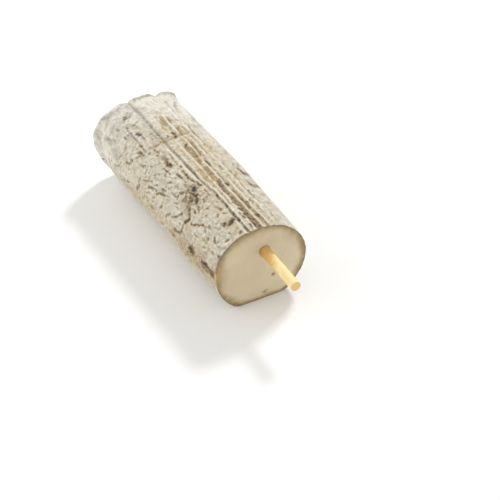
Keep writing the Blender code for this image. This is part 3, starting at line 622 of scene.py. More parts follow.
# Columns of the tables above: a row's depth, strength or height, and a dark mark's darkness
AMOUNT = 5
DARKNESS = 6
BROAD_SMUDGE = 1.5
STROKE_FALL = 0.7
MARK_WIDENING = 1.3
HALO_WIDENING = 2.6
MARK_DEPTH = 0.8 * MM

# Loose marks, and cracks on the sides that the photograph doesn't show
MARK_SEED = 7
LOOSE_MARKS = 520
CRACKS = 24
CRACK_SIDES = (306, 10, 322, 24, 338)
BAND_START = 62
PLACED_FROM = 107
PLACED_TO = 176
RIGHT_FLANK_FROM = 300
DEGREES_A_MM = MM / ROUND_THE_LOG

# Cut face
RIM_SOFTNESS = 0.12 * MM
RIM_REACH = 0.25 * MM
RING_EVEN_FROM_RIM = 1.4 * MM
FACE_SUNK = 0.1 * MM
KNIFE_HEIGHT = 0.05 * MM
KNIFE_PITCH = 1.1 * MM
CURD_LUMPS = ((0.14, 7), (0.05, 1.7))  # height, size
CURD_FROM_RIM = 1.2 * MM
STRAW_SWELLING = 0.25 * MM
SWELLING_REACH = 2.2 * MM
PALE_BELOW = (17 * MM, 4 * MM)
PALE_FROM_LEFT = (-16 * MM, -9 * MM)
GOLDEN_SIDE = ((177, 9, 1.0),)  # phi, half width, how much
GOLDEN_REACH = (3.5 * MM, 0.3 * MM)
RING_NARROWNESS = 1.15
RING_WIDER = (  # phi, half width, how much
    (222, 24, 0.42),
    (165, 25, 0.2),
    (20, 32, 0.32),
    (290, 25, -0.5),
)
EYE_NARROWING = 0.8
FULL_EYE = 0.5 * MM
FACE_NEAR_RIM = (0.1, 0.3, 0.55, 0.85, 1.2, 1.6, 2.1, 2.7, 3.4, 4.2, 5.1)
FACE_ROWS = 30
EYES = (  # place across the face, height, half width, depth
    (6.5, 11.9, 0.95, 0.8),
    (7.3, 13.2, 0.4, 0.3),
    (1.65, 3.4, 0.95, 0.6),
    (2.9, 4.1, 0.45, 0.4),
    (-16.2, 5.0, 0.6, 0.6),
    (-17.6, 3.6, 0.8, 0.6),
    (-0.2, 25.2, 0.5, 0.2),
    (4.2, 15.6, 0.4, 0.2),
    (12.6, 24.0, 0.4, 0.25),
    (-9.4, 19.0, 0.35, 0.2),
)

# Mesh spacing
FIRST_ROW_BACK = 0.3 * MM
SIDE_ROWS = 258
EDGE_ROWS = 8
END_ROWS = 34
RING_SAMPLES = 800
RING_STRETCHES = (  # from phi, to phi, spacing along the rind in millimetres
    (0, 62, 0.45),
    (62, 178, 0.35),
    (178, 213, 0.55),
    (213, 328, 1.3),
    (328, 360, 0.6),
)
MERGE_DISTANCE = 0.0001 * MM
HARDLY = 0.001

# Fine relief of dry rind
FIELD_SHAPE = (264, 108, 96)
FIELD_CELL = 0.5 * MM
FIELD_EVENNESS = 0.28
FIELD_CONTRAST = 1.3
WORM_SEED = 11
WORM_WAVE = 2.5 * MM
WORM_HEIGHT = 0.14 * MM
PATCH_SEED = 23
PATCH_WAVE = 6.5 * MM
WARP = 1.1 * MM
WARP_SIZE = 3.4 * MM
PIT_SPACING = 1.9 * MM
PIT_DEPTH = 0.3 * MM
SEAM_SIZE = 2.6 * MM
SEAM_DEPTH = 0.75 * MM
SEAM_LEVEL = 0.2
SEAM_TOP = 0.28
PLATE_SIZE = 4.2 * MM
PLATE_STEPS = 4.2
PLATE_HEIGHT = 0.08 * MM
PLATE_SLOPE = 0.75
PLATE_EDGE = (0.28, 0.72)
PLATE_RAGGEDNESS = 0.9
PLATE_RAGGED_SIZE = 1.3 * MM
GRAIN_SIZE = 0.9 * MM
GRAIN_HEIGHT = 0.08 * MM
LEAST_LIVELY = 0.45
LIVELY_SIDES = ((138, 42, 0.55), (335, 50, 0.55))  # phi, half width, how much
CALMER_FAR = (86 * MM, 112 * MM)
CALM_OF_FAR = 0.25
END_STRENGTH = 0.95
SKIN_SUNK = 0.15 * MM

# The band of the rack marks, from where it begins to where it is whole on each side
BAND_FROM = (60, 68)
BAND_TO = (110, 103)
BAND_WAVER = ((0.3, 6), (0.25, 2.6))  # height, size
CALM_OF_BAND = 0.3
LESS_IN_BAND = 0.7

# How the marks and stains waver, and the streaks between the rack marks
WOBBLE = 0.5 * MM
WOBBLE_SIZE = 1.5 * MM
OCHRE_WOBBLE = 1.2
STREAK_SIZE = 1.2 * MM
STREAK_HEIGHT = 0.16 * MM

# Painted shade in the relief's hollows and pits, and a painted highlight on its rises: the depths and
# heights that count in full
FULL_CAVITY = 0.22 * MM
FULL_RISE = 0.16 * MM
FULL_RIDGE = 0.34 * MM
CAVITY_PAINTED_SHADE = 0.34
PIT_PAINTED_SHADE = 0.26
END_PIT_PAINTED_SHADE = 0.5
FAINTER_MARKS = ((157, 14, 0.12),)  # phi, half width, how much
BROKEN_SIZE = 1.1 * MM
PATCHY_SIZE = 1.6 * MM
BLOTCH_SIZE = 3.6 * MM
CLEAR_RIM = (109 * MM, 115 * MM)

# White bloom, and where it thins: share, from phi, to phi, and the backs where that ends and is whole
BLOOM_BEGINS = 80 * MM
BLOOM_FULL = 114 * MM
BLOOM_SOONER = 18 * MM
SOONER_SIDE = 50
SOONER_HALF_WIDTH = 25
BLOOM_THINNED = ((0.26, 108, 125, 116, 102), (0.25, 130, 150, 112, 98))
SHOULDER_BLOOM = 0.34
SHOULDER_SIDE = 46
SHOULDER_HALF_WIDTH = 22
END_BLOOM = 0.8

# Colours of the rind; a pair is for plain rind and for rind in bloom
CREAM = (0.64, 0.59, 0.48)
BEIGE = (0.56, 0.51, 0.405)
BROWN_MOTTLE = (0.43, 0.355, 0.245)
PALE_MOTTLE = (0.76, 0.73, 0.63)
GOLDEN_CLOUD = (0.62, 0.47, 0.24)
GREY_CLOUD = (0.47, 0.44, 0.38)
DARK_CRUMB = (0.42, 0.355, 0.25)
PALE_CRUMB = (0.82, 0.795, 0.70)
WHITE_BLOOM = (0.785, 0.765, 0.695)
WARM_FLECK = (0.80, 0.68, 0.42)
OCHRE = (0.46, 0.328, 0.14)
RUST = (0.32, 0.145, 0.03)
# pale flakes with a painted highlight on raised rind
FLAKE_AND_HIGHLIGHT = ((0.82, 0.795, 0.69), (0.93, 0.915, 0.85))
HALO = ((0.42, 0.32, 0.17), (0.43, 0.395, 0.32))
# dirt in the marks, and painted shade in the hollows and pits
THIN_DIRT_AND_SHADE = ((0.30, 0.22, 0.13), (0.37, 0.345, 0.30))
THICK_DIRT_AND_SHADE = ((0.08, 0.054, 0.031), (0.15, 0.13, 0.11))
DUST_SHARE = 0.25

# Colours of the cut paste
IVORY = (0.74, 0.625, 0.42)
PALE_IVORY = (0.78, 0.665, 0.46)
PALE_PASTE = (0.84, 0.73, 0.505)
RING = (0.54, 0.41, 0.21)
RING_EDGE = (0.375, 0.265, 0.12)
RIND_LINE = (0.235, 0.17, 0.095)
GOLDEN_EDGE = (0.60, 0.40, 0.13)
# painted shade in the eyes, darkest at their bottoms
EYE_SHADE = (0.46, 0.31, 0.12)
EYE_BOTTOM_SHADE = (0.24, 0.15, 0.06)

# Colours of the straw
STRAW_YELLOW = (0.98, 0.80, 0.40)
STRAW_GOLD = (0.90, 0.68, 0.29)
PALE_STRAW = (1.0, 0.90, 0.54)
STRAW_SPECKLE = (0.62, 0.40, 0.14)
STRAW_GRAIN = (0.70, 0.48, 0.18)
# stain with the log's painted shadow along the straw, and darker stain with painted shade by the cut
# face
STRAW_STAIN_AND_SHADOW = (0.74, 0.445, 0.115)
STRAW_BURNT_AND_SHADE = (0.56, 0.27, 0.065)
STRAW_TIP = (0.86, 0.60, 0.225)
STAIN_AND_SHADOW_WAVE = 4 * MM

# Camera at the photograph's place, as solved from the cut face
CAMERA_PLACE = Vector((657.756, -354.123, 590.244)) * MM
CAMERA_TURN = math.radians(-29.7)
CAMERA_RISE = math.radians(38.5)
CAMERA_LENS = 142.48
CAMERA_SENSOR = 36
NEAREST_SEEN = 0.01

# Studio
FLOOR_SIZE = 6
FLOOR_COLOUR = (0.97, 0.97, 0.97)
ROOM_COLOUR = (1.0, 0.99, 0.97, 1)
ROOM_STRENGTH = 0.59
LIGHT_DISTANCE = 1.3


def bump(distance, half_width):
    return np.exp(-((distance / half_width) ** 2))


def smooth_step(start, end, value):
    share = np.clip((value - start) / (end - start), 0.0, 1.0)
    return share * share * (3 - 2 * share)


def power_of(value, power):
    return np.sign(value) * np.abs(value) ** (2 / power)


def angle_between(phi, other):
    return (phi - other + 180) % 360 - 180


def soft_noise(points, size):
    """Smooth noise at each point, its lumps about this size."""
    flat = (points / size).reshape(-1, 3)
    values = np.array([noise.noise(Vector(point)) for point in flat])
    return values.reshape(points.shape[:-1])


def layered_noise(points, rows):
    """Smooth noise in several layers, each with its height and size in millimetres."""
    return sum(height * MM * soft_noise(points, size * MM) for height, size in rows)


def section(back, phi):
    """y and z on the log's section before any relief: a dome on a rounded, flat-bottomed half."""
    share = back / LOG_LENGTH
    swell = np.sin(math.pi * share / SWELL_SPAN)
    half_width = CUT_HALF_WIDTH + HALF_WIDTH_SWELL * swell
    height = CUT_HEIGHT + HEIGHT_SWELL * swell
    belly = BELLY * height
    across = np.cos(np.radians(phi))
    upward = np.sin(np.radians(phi))
    change = smooth_step(0.0, SHOULDER_CHANGE, back)
    right_power = RIGHT_SHOULDER_AT_CUT + (RIGHT_SHOULDER - RIGHT_SHOULDER_AT_CUT) * change
    power = np.where(across >= 0, right_power, LEFT_SHOULDER)
    power = np.where(upward >= 0, power, LOWER_HALF)
    reach = np.where(upward >= 0, height - belly, belly * UNDERSIDE)
    y = half_width * power_of(across, power) + SIDE_SHIFT * swell + TAPER_SHIFT * share
    z = belly + reach * power_of(upward, power)
    rounded = np.maximum(z + BASE_ROUNDING, 0.0) ** 2 / (4 * BASE_ROUNDING)
    return y, np.where(z < BASE_ROUNDING, rounded, z)


def sum_of_bumps(rows, phi):
    return sum(size * bump(angle_between(phi, at), half_width) for at, half_width, size in rows)


def rack_marks(back, phi):
    depth = 0.0
    for centre, half_width, deepest, fade_from in RACK_MARKS:
        fade = 1 - (1 - MARK_FLOOR) * smooth_step(fade_from * MM, fade_from * MM + MARK_FADE, back)
        depth = depth + deepest * MM * fade * bump(angle_between(phi, centre), half_width)
    return depth


def groove_drift(back, phi):
    """How many degrees the main groove lies off its plain place."""
    far = smooth_step(DRIFT_START, DRIFT_END, back)
    drift = GROOVE_DRIFT_NEAR + (GROOVE_DRIFT_FAR - GROOVE_DRIFT_NEAR) * far
    return drift * bump(angle_between(phi, MAIN_GROOVE), DRIFT_HALF_WIDTH)


def crease(back, phi):
    share = np.clip((phi - CREASE_FROM) / (CREASE_TO - CREASE_FROM), 0.0, 1.0)
    return CREASE_DEPTH * np.sin(math.pi * share) ** 0.5 * bump(back - CREASE_BACK, CREASE_HALF_WIDTH)


def dents(back, phi):
    depth = 0.0
    for dent_back, dent_phi, half_length, half_width, deepest in DENTS:
        across = angle_between(phi, dent_phi) * ROUND_THE_LOG
        along = bump(back - dent_back * MM, half_length * MM)
        depth = depth + deepest * MM * along * bump(across, half_width * MM)
    return depth


def large_form(points, back, phi):
    """Height of the rind's lumps, wrinkles, grooves and dents over the plain section."""
    near_side = bump(angle_between(phi, WRINKLED_SIDE), WRINKLED_HALF_WIDTH)
    wrinkled = LEAST_WRINKLED + (1 - LEAST_WRINKLED) * near_side
    form = LUMP_HEIGHT * soft_noise(points, LUMP_SIZE)
    form += WRINKLE_HEIGHT * wrinkled * (WRINKLE_LEVEL - np.abs(soft_noise(points, WRINKLE_SIZE)))
    form += sum_of_bumps(FLANGE_BULGES, phi) * MM * bump(back - FLANGE_BACK, FLANGE_HALF_WIDTH)
    form -= sum_of_bumps(NECK_DIPS, phi) * MM * bump(back - NECK_BACK, NECK_HALF_WIDTH)
    return form - rack_marks(back, phi) - crease(back, phi) - DENT_SHARE * dents(back, phi)


def worm_field(seed, wave, rounds):
    """A block of smooth worm-like ridges and hollows, -1 to 1, this far apart from ridge to ridge."""
    frequencies = [np.fft.fftfreq(count, FIELD_CELL) for count in FIELD_SHAPE[:2]]
    frequencies.append(np.fft.rfftfreq(FIELD_SHAPE[2], FIELD_CELL))
    across = np.meshgrid(*frequencies, indexing="ij", sparse=True)
    pitch = np.sqrt(sum(axis**2 for axis in across)) * wave
    band = bump(pitch - 1, FIELD_EVENNESS)
    field = np.random.default_rng(seed).standard_normal(FIELD_SHAPE)
    for _ in range(rounds):
        field = np.fft.irfftn(np.fft.rfftn(field) * band, s=FIELD_SHAPE)
        field = np.tanh(FIELD_CONTRAST * field / field.std())
    return field


def read_field(field, points):
    """The field's value at each point, blended between its cells."""
    place = points / FIELD_CELL
    low = np.floor(place).astype(int)
    share = place - low
    total = 0.0
    for corner in np.ndindex(2, 2, 2):
        weight = 1.0
        index = []
        for axis, step in enumerate(corner):
            weight = weight * (share[..., axis] if step else 1 - share[..., axis])
            index.append((low[..., axis] + step) % field.shape[axis])
        total = total + weight * field[tuple(index)]
    return total


def edge_power(half_width, level):
    """How abruptly a stroke ends sideways: level ones and thin ones more so than broad smudges."""
    if level:
        return 4
    if half_width > BROAD_SMUDGE:
        return 1.7
    return 2 + min(half_width, 1.0)


def strokes(rows, back, arc, column=AMOUNT, level=False, widening=1.0):
    """The strongest of the strokes at each place. Level ones are even across."""
    strongest = np.zeros_like(back)
    for row in rows:
        start = (row[0] * MM, row[1] * ROUND_THE_LOG)
        step = (row[2] * MM - start[0], row[3] * ROUND_THE_LOG - start[1])
        half_width = row[4]
        squared = max(step[0] ** 2 + step[1] ** 2, 1e-12)
        share = ((back - start[0]) * step[0] + (arc - start[1]) * step[1]) / squared
        share = np.clip(share, 0.0, 1.0)
        gap = np.hypot(back - start[0] - share * step[0], arc - start[1] - share * step[1])
        reach = (gap / (half_width * MM * widening)) ** edge_power(half_width, level)
        strongest = np.maximum(strongest, row[column] * np.exp(-STROKE_FALL * reach))
    return strongest


def smeared(values, rows, columns):
    """The values averaged with their neighbours on the grid."""
    for axis, reach in ((0, rows), (1, columns)):
        shifted = [np.roll(values, step, axis) for step in range(-reach, reach + 1)]
        values = sum(shifted) / len(shifted)
    return values


def straw_middle(x):
    """y of the straw's middle at this x, measured from the cut face."""
    return STRAW_SIDE - x * math.tan(STRAW_LEAN)


def ring_angles():
    """Angles of a ring's points, from the right flank over the top and round underneath."""
    angles = []
    for start, end, spacing in RING_STRETCHES:
        fine = np.linspace(start, end, RING_SAMPLES)
        y, z = section(np.full(RING_SAMPLES, LOG_LENGTH / 2), fine)
        lengths = np.concatenate(([0], np.cumsum(np.hypot(np.diff(y), np.diff(z)))))
        count = max(round(lengths[-1] / (spacing * MM)), 2)
        angles += list(np.interp(np.linspace(0, lengths[-1], count, endpoint=False), lengths, fine))
    return np.array(angles + [360.0])


def kept_among_placed(back, phi):
    """How dark a loose mark stays on the side where the marks of the table are."""
    if back < 36 and phi < 128:
        return 1.0
    if back < 85:
        return 0.75
    return 0.5


def scattered_marks():
    """Small dark marks all over the rind in no order, fewer where the tables have placed theirs."""
    chance = np.random.default_rng(MARK_SEED)
    marks = []
    for _ in range(LOOSE_MARKS):
        back = chance.uniform(1, 121)
        phi = chance.uniform(0, 360)
        length = chance.gamma(2.0, 0.7)
        lean = chance.normal(0.9, 0.9)
        width = chance.uniform(0.28, 0.5)
        dark = chance.uniform(0.25, 0.85)
        if BAND_START < phi < PLACED_FROM:
            continue
        if PLACED_FROM <= phi < PLACED_TO:
            width *= 0.8
            dark *= kept_among_placed(back, phi)
            length *= 0.5
        if phi <= BAND_START or phi > RIGHT_FLANK_FROM:
            dark *= 0.7
        to_phi = phi + math.sin(lean) * length * DEGREES_A_MM
        marks.append((back, phi, back + math.cos(lean) * length, to_phi, width, 0.3 * dark, dark))
    for number in range(CRACKS):
        back = 6 + 4.6 * number + chance.uniform(-2, 2)
        phi = CRACK_SIDES[number % len(CRACK_SIDES)] + chance.uniform(-6, 6)
        lean = chance.normal(1.0, 0.5)
        dark = chance.uniform(0.3, 0.65)
        for _ in range(chance.integers(2, 4)):
            lean += chance.normal(0.0, 0.6)
            length = chance.uniform(1.0, 2.4)
            width = chance.uniform(0.38, 0.6)
            start = (back, phi)
            back += math.cos(lean) * length
            phi += math.sin(lean) * length * DEGREES_A_MM
            marks.append((*start, back, phi, width, 0.4 * dark, dark))
    return marks


def flakes(points):
    """Height of the flaky plates of dry rind: level tops with short steep sides."""
    level = PLATE_STEPS * soft_noise(points, PLATE_SIZE)
    level += PLATE_RAGGEDNESS * soft_noise(points, PLATE_RAGGED_SIZE)
    step = level - np.floor(level)
    return np.floor(level) + smooth_step(*PLATE_EDGE, step) - PLATE_SLOPE * level


def dry_skin(points, strength):
    """Fine relief of dry rind, how deep in a pit each point is, and where its pattern is read."""
    shift = [WARP * soft_noise(points + away * MM, WARP_SIZE) for away in (100, 400, 900)]
    warped = points + np.stack(shift, axis=-1)
    worms = read_field(WORMS, warped)
    lively = strength * (0.65 + 0.35 * read_field(PATCHES, warped))
    pick = soft_noise(points + 0.05, PIT_SPACING)
    pits = smooth_step(-0.25, -0.9, worms) * smooth_step(0.1, 0.5, pick) * lively
    seams = np.minimum(np.abs(soft_noise(warped, SEAM_SIZE)), SEAM_TOP) - SEAM_LEVEL
    fine = PLATE_HEIGHT * flakes(points) * strength + GRAIN_HEIGHT * soft_noise(points, GRAIN_SIZE)
    fine += SEAM_DEPTH * seams * strength * smooth_step(-0.5, 0.3, pick)
    fine += WORM_HEIGHT * worms * lively - PIT_DEPTH * pits
    return fine, pits, warped


def shading(fine):
    """How far each point lies under and over the skin around it, from 0 to 1, for painted shade in
    hollows and a painted highlight on rises.
    """
    rise = fine - smeared(fine, 3, 4)
    return np.clip(-rise / FULL_CAVITY, 0, 1), np.clip(rise / FULL_RISE, 0, 1)


def soft_blotches(warped):
    return smooth_step(0.0, 0.45, soft_noise(warped + 0.3, BLOTCH_SIZE))


def white_bloom(back, phi):
    """Where the rind is whitest: at the far end, and faintly along the right shoulder."""
    sooner = BLOOM_SOONER * bump(phi - SOONER_SIDE, SOONER_HALF_WIDTH)
    bloom = smooth_step(BLOOM_BEGINS, BLOOM_FULL, back + sooner)
    for share, from_phi, to_phi, ends, whole in BLOOM_THINNED:
        here = smooth_step(ends * MM, whole * MM, back)
        bloom *= 1 - share * smooth_step(from_phi, to_phi, phi) * here
    return np.maximum(bloom, SHOULDER_BLOOM * bump(phi - SHOULDER_SIDE, SHOULDER_HALF_WIDTH))


def blank_looks(shape):
    """What the materials need to know at each point. The darkness holds dark marks and painted shade in
    hollows, pits and eyes; the lightening is a painted highlight on raised rind with its pale flakes,
    and on the cut face how pale the paste is.
    """
    names = ("dark", "halo", "tan", "rust", "paleness_and_highlight", "bloom", "inset")
    return {name: np.zeros(shape) for name in names}


def rind_relief(points, back, phi, looks):
    """Height of the rind over its plain section, in large and in fine, and its looks, with painted
    shade in its hollows and pits and a painted highlight on its rises.
    """
    in_band = smooth_step(*BAND_FROM, phi) * smooth_step(*BAND_TO, phi)
    wobble = [WOBBLE * soft_noise(points + away * MM, WOBBLE_SIZE) for away in (300, 700)]
    there = back + wobble[0]
    plain_arc = phi * ROUND_THE_LOG + layered_noise(points, BAND_WAVER) * in_band
    arc = plain_arc + wobble[1] * (1 - LESS_IN_BAND * in_band)

    strength = LEAST_LIVELY + sum_of_bumps(LIVELY_SIDES, phi)
    strength *= 1 - CALM_OF_BAND * in_band
    strength *= 1 - CALM_OF_FAR * smooth_step(*CALMER_FAR, back)
    fine, pits, warped = dry_skin(points, strength)
    loose = scattered_marks()
    cut_in = strokes(DARK_MARKS, there, arc) + strokes(loose, there, arc)
    ridges = strokes(RACK_RIDGES, there, arc) * MM
    streaks = soft_noise(np.stack([back / 8, arc, 0 * arc], axis=-1), STREAK_SIZE)
    fine += ridges - MARK_DEPTH * cut_in + STREAK_HEIGHT * streaks * in_band
    cavity, raised = shading(fine)

    placed = strokes(DARK_MARKS, there, arc, DARKNESS, widening=MARK_WIDENING - 0.35 * in_band)
    marked = np.maximum(placed, strokes(loose, there, arc, DARKNESS))
    marked *= 1 - sum_of_bumps(FAINTER_MARKS, phi)
    broken = smooth_step(-0.3, 0.3, soft_noise(points + 0.2, BROKEN_SIZE))
    marked *= 0.75 + 0.5 * broken + in_band * (0.15 * broken + 0.02)
    # painted shade in the hollows and pits, kept where it is darker than the marks
    shaded = CAVITY_PAINTED_SHADE * cavity + PIT_PAINTED_SHADE * pits
    looks["dark"] = np.clip(np.maximum(marked, shaded), 0, 1)

    looks["bloom"] = white_bloom(back, phi)
    halo = strokes(DARK_MARKS, there, arc, DARKNESS, widening=HALO_WIDENING)
    halo *= 1 - LESS_IN_BAND * in_band
    blotches = soft_blotches(warped) * (1 - in_band)
    blotches *= 0.45 + 1.2 * looks["bloom"] - 0.75 * smooth_step(*CLEAR_RIM, back)
    looks["halo"] = np.maximum(halo, blotches)
    patchy = smooth_step(-0.25, 0.25, soft_noise(points + 0.4, PATCHY_SIZE))
    ochre = strokes(TAN_STAINS, there, plain_arc + OCHRE_WOBBLE * wobble[1], level=True)
    looks["tan"] = ochre * (1 + in_band * (0.6 * patchy - 0.25))
    looks["rust"] = strokes(RUST_STAINS, there, arc, level=True)
    # pale flakes and a painted highlight on raised rind and the rack's ridges
    looks["paleness_and_highlight"] = np.clip(raised + ridges / FULL_RIDGE, 0, 1)
    return large_form(points, back, phi), fine - SKIN_SUNK


def side_points(back, phi, turn, looks):
    """Points of the rind. turn is how far the far edge has turned, which draws it in there."""
    y, z = section(back, phi + groove_drift(back, phi))
    plain = np.stack([-back, y, z], axis=-1)
    outward = np.stack([np.zeros_like(y), y, z - BELLY * CUT_HEIGHT], axis=-1)
    outward /= np.linalg.norm(outward, axis=-1, keepdims=True)
    form, fine = rind_relief(plain, back, phi, looks)
    kept = smooth_step(0.0, BASE_EDGE, z)
    drawn_in = EDGE_RADIUS * (1 - np.cos(turn))
    points = plain + outward * ((form + fine * np.cos(turn)) * kept - drawn_in)[..., None]
    points[..., 0] -= fine * np.sin(turn) * kept
    points[..., 2] = np.maximum(points[..., 2], 0.0)
    at_rim = smooth_step(LOG_LENGTH - RIM_PULL_SPAN, LOG_LENGTH, back)
    points[..., 0] += sum_of_bumps(RIM_PULLS, phi) * MM * at_rim
    return points


def channel_ring(x, rim, gap):
    """The edge of the straw's channel at this x, a point of it towards each point of the rim."""
    middle = np.array([x, straw_middle(x), STRAW_HEIGHT])
    direction = rim - middle
    direction[:, 0] = 0
    direction /= np.linalg.norm(direction, axis=-1, keepdims=True)
    return middle + direction * (STRAW_RADIUS + gap)


def face_points(rim):
    """Rows of the cut face from the channel to the rim, their distances from the rim, and its eyes."""
    mouth = channel_ring(0.0, rim, MOUTH_GAP)
    span = np.linalg.norm(mouth - rim, axis=-1)
    near = [np.full_like(span, distance * MM) for distance in FACE_NEAR_RIM]
    shares = np.linspace(0, 1, FACE_ROWS + 1)[1:]
    rest = [near[-1] + (span - near[-1]) * share for share in shares]
    distances = np.array(near + rest)[::-1]
    points = rim + (mouth - rim) * (distances / span)[..., None]
    points[..., 0] = 0
    y, z = points[..., 1], points[..., 2]
    hollow = 0.0
    for eye_y, eye_z, half_width, depth in EYES:
        away = np.hypot(y - eye_y * MM, z - eye_z * MM)
        hollow = hollow + depth * MM * bump(away, EYE_NARROWING * half_width * MM)
    knife = KNIFE_HEIGHT * soft_noise(np.stack([y / 6, y * 0, z], axis=-1), KNIFE_PITCH)
    curd = layered_noise(points, CURD_LUMPS)
    inner = smooth_step(0.0, CURD_FROM_RIM, distances)
    swelled = STRAW_SWELLING * smooth_step(SWELLING_REACH, 0.0, span - distances)
    points[..., 0] = (knife + curd + swelled) * inner - hollow - FACE_SUNK
    points[..., 0] -= RIM_SOFTNESS * bump(distances, RIM_REACH)
    return points, distances, np.clip(hollow / FULL_EYE, 0, 1)


def face_looks(points, distances, eyes, angles):
    """The cut face's eyes with painted shade in them, its pale lower part, its ring, and the ochre on
    its left edge.
    """
    looks = blank_looks(distances.shape)
    # painted shade in the eyes, by their depth
    looks["dark"] = eyes
    low = smooth_step(*PALE_BELOW, points[..., 2])
    looks["paleness_and_highlight"] = low * smooth_step(*PALE_FROM_LEFT, points[..., 1])
    looks["tan"] = sum_of_bumps(GOLDEN_SIDE, angles) * smooth_step(*GOLDEN_REACH, distances)
    notches = smeared(distances[:1], 0, 5) - distances[:1]
    even = distances + notches * smooth_step(0.0, RING_EVEN_FROM_RIM, distances)
    looks["inset"] = even / MM * (RING_NARROWNESS - sum_of_bumps(RING_WIDER, angles))
    return looks


def end_points(rim):
    """Rows of the far end from inside its rim to the straw's channel, and their looks."""
    insets = (np.arange(1, END_ROWS + 1) / END_ROWS)[:, None]
    hole = channel_ring(-LOG_LENGTH + END_DISH, rim, STRAW_GAP)
    points = rim + (hole - rim) * insets[..., None]
    lobes = 1 - smooth_step(0.0, LOBES_INTO_END, insets)
    dish = END_DISH * smooth_step(0.0, DISH_INTO_END, insets)
    calm = smooth_step(*CALM_AT_STRAW, insets)
    fine, pits, warped = dry_skin(points, np.full(points.shape[:2], END_STRENGTH))
    relief = END_WRINKLE_HEIGHT * soft_noise(points, WRINKLE_SIZE)
    relief -= (fine - END_SKIN_SUNK) * smooth_step(0.0, SKIN_INTO_END, insets)
    points[..., 0] = -LOG_LENGTH + (rim[:, 0] + LOG_LENGTH) * lobes + dish + relief * calm
    cavity, raised = shading(fine)
    looks = blank_looks(points.shape[:2])
    # painted shade in the end's hollows and pits, and a painted highlight on its rises
    looks["dark"] = np.clip(CAVITY_PAINTED_SHADE * cavity + END_PIT_PAINTED_SHADE * pits, 0, 1) * calm
    looks["paleness_and_highlight"] = raised
    looks["halo"] = soft_blotches(warped)
    looks["bloom"] += END_BLOOM
    return points, looks


def log_points():
    """Every row of the log, from the channel over the cut face, along the rind and back into it."""
    angles = ring_angles()
    side_backs = np.linspace(FIRST_ROW_BACK, LOG_LENGTH - EDGE_RADIUS, SIDE_ROWS)
    side_backs = np.concatenate(([0.0], side_backs))
    turns = np.linspace(0, math.pi / 2, EDGE_ROWS + 1)[1:]
    backs = np.concatenate((side_backs, LOG_LENGTH - EDGE_RADIUS * (1 - np.sin(turns))))
    turn_rows = np.concatenate((np.zeros_like(side_backs), turns))
    back, phi = np.meshgrid(backs, angles, indexing="ij")
    turn = np.repeat(turn_rows[:, None], len(angles), axis=1)
    side_looks = blank_looks(back.shape)
    side = side_points(back, phi, turn, side_looks)
    face, distances, eyes = face_points(side[0])
    side[0, :, 0] -= RIM_SOFTNESS
    end, end_looks = end_points(side[-1])
    rows = np.concatenate((face, side, end, face[:1]))
    lowest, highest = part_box("cheese_log")
    rows[..., 0] = np.maximum(rows[..., 0], lowest.x - CUT_FACE_X)
    rows[..., 1] = np.clip(rows[..., 1], lowest.y - LOG_SIDE, highest.y - LOG_SIDE)
    rows[..., 2] = np.minimum(rows[..., 2], highest.z)
    rows[:, -1] = rows[:, 0]
    parts = (face_looks(face, distances, eyes, angles), side_looks, end_looks)
    looks = {}
    for name in side_looks:
        values = [part[name] for part in parts]
        looks[name] = np.concatenate(values + [values[0][:1]])
        looks[name][:, -1] = looks[name][:, 0]
    return rows, looks, len(face)


def start_fresh():
    bpy.ops.object.select_all(action="DESELECT")


def build_log():
    """The log as one closed skin: a grid rolled round the straw's channel and joined to itself."""
    rows, looks, face_rows = log_points()
    row_count, column_count = rows.shape[:2]
    start_fresh()
    bpy.ops.mesh.primitive_grid_add(
        x_subdivisions=row_count - 1,
        y_subdivisions=column_count - 1,
        size=2,
    )
    log = bpy.context.object
    log.name = "dressed_cheese_log"
    mesh = log.data
    flat = np.zeros(len(mesh.vertices) * 3)
    mesh.vertices.foreach_get("co", flat)
    row = np.rint((flat[0::3] + 1) / 2 * (row_count - 1)).astype(int)
    column = np.rint((flat[1::3] + 1) / 2 * (column_count - 1)).astype(int)
    placed = rows[row, column] + np.array([CUT_FACE_X, LOG_SIDE, 0])
    mesh.vertices.foreach_set("co", placed.ravel())
    for name, values in looks.items():
        attribute = mesh.attributes.new(name, "FLOAT", "POINT")
        attribute.data.foreach_set("value", values[row, column].astype(np.float32))

    mesh.materials.append(rind_material())
    mesh.materials.append(paste_material())
    corner = np.zeros(len(mesh.polygons), dtype=int)
    mesh.polygons.foreach_get("loop_start", corner)
    loop_vertex = np.zeros(len(mesh.loops), dtype=int)
    mesh.loops.foreach_get("vertex_index", loop_vertex)
    face_row = np.min(row[loop_vertex[corner[:, None] + np.arange(4)]], axis=1)
    on_cut_face = (face_row < face_rows) | (face_row == row_count - 2)
    mesh.polygons.foreach_set("material_index", np.where(on_cut_face, 1, 0))

    bpy.ops.object.mode_set(mode="EDIT")
    bpy.ops.mesh.select_all(action="SELECT")
    bpy.ops.mesh.remove_doubles(threshold=MERGE_DISTANCE)
    bpy.ops.mesh.normals_make_consistent(inside=False)
    bpy.ops.object.mode_set(mode="OBJECT")
    bpy.ops.object.shade_smooth()
    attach(log, "root")
    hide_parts("cheese_log")


def select_only(mesh, kind, elements, chosen):
    """Goes into edit mode with just the chosen faces or edges selected."""
    bpy.ops.object.mode_set(mode="EDIT")
    bpy.ops.mesh.select_mode(type=kind)
    bpy.ops.mesh.select_all(action="DESELECT")
    bpy.ops.object.mode_set(mode="OBJECT")
    for element in getattr(mesh, elements):
        element.select = chosen(element)
    bpy.ops.object.mode_set(mode="EDIT")


def is_end_cap(face):
    return len(face.vertices) > 4


def runs_along(edge):
    first, second = [edge.id_data.vertices[number].co.z for number in edge.vertices]
    return abs(first - second) > 10 * MM


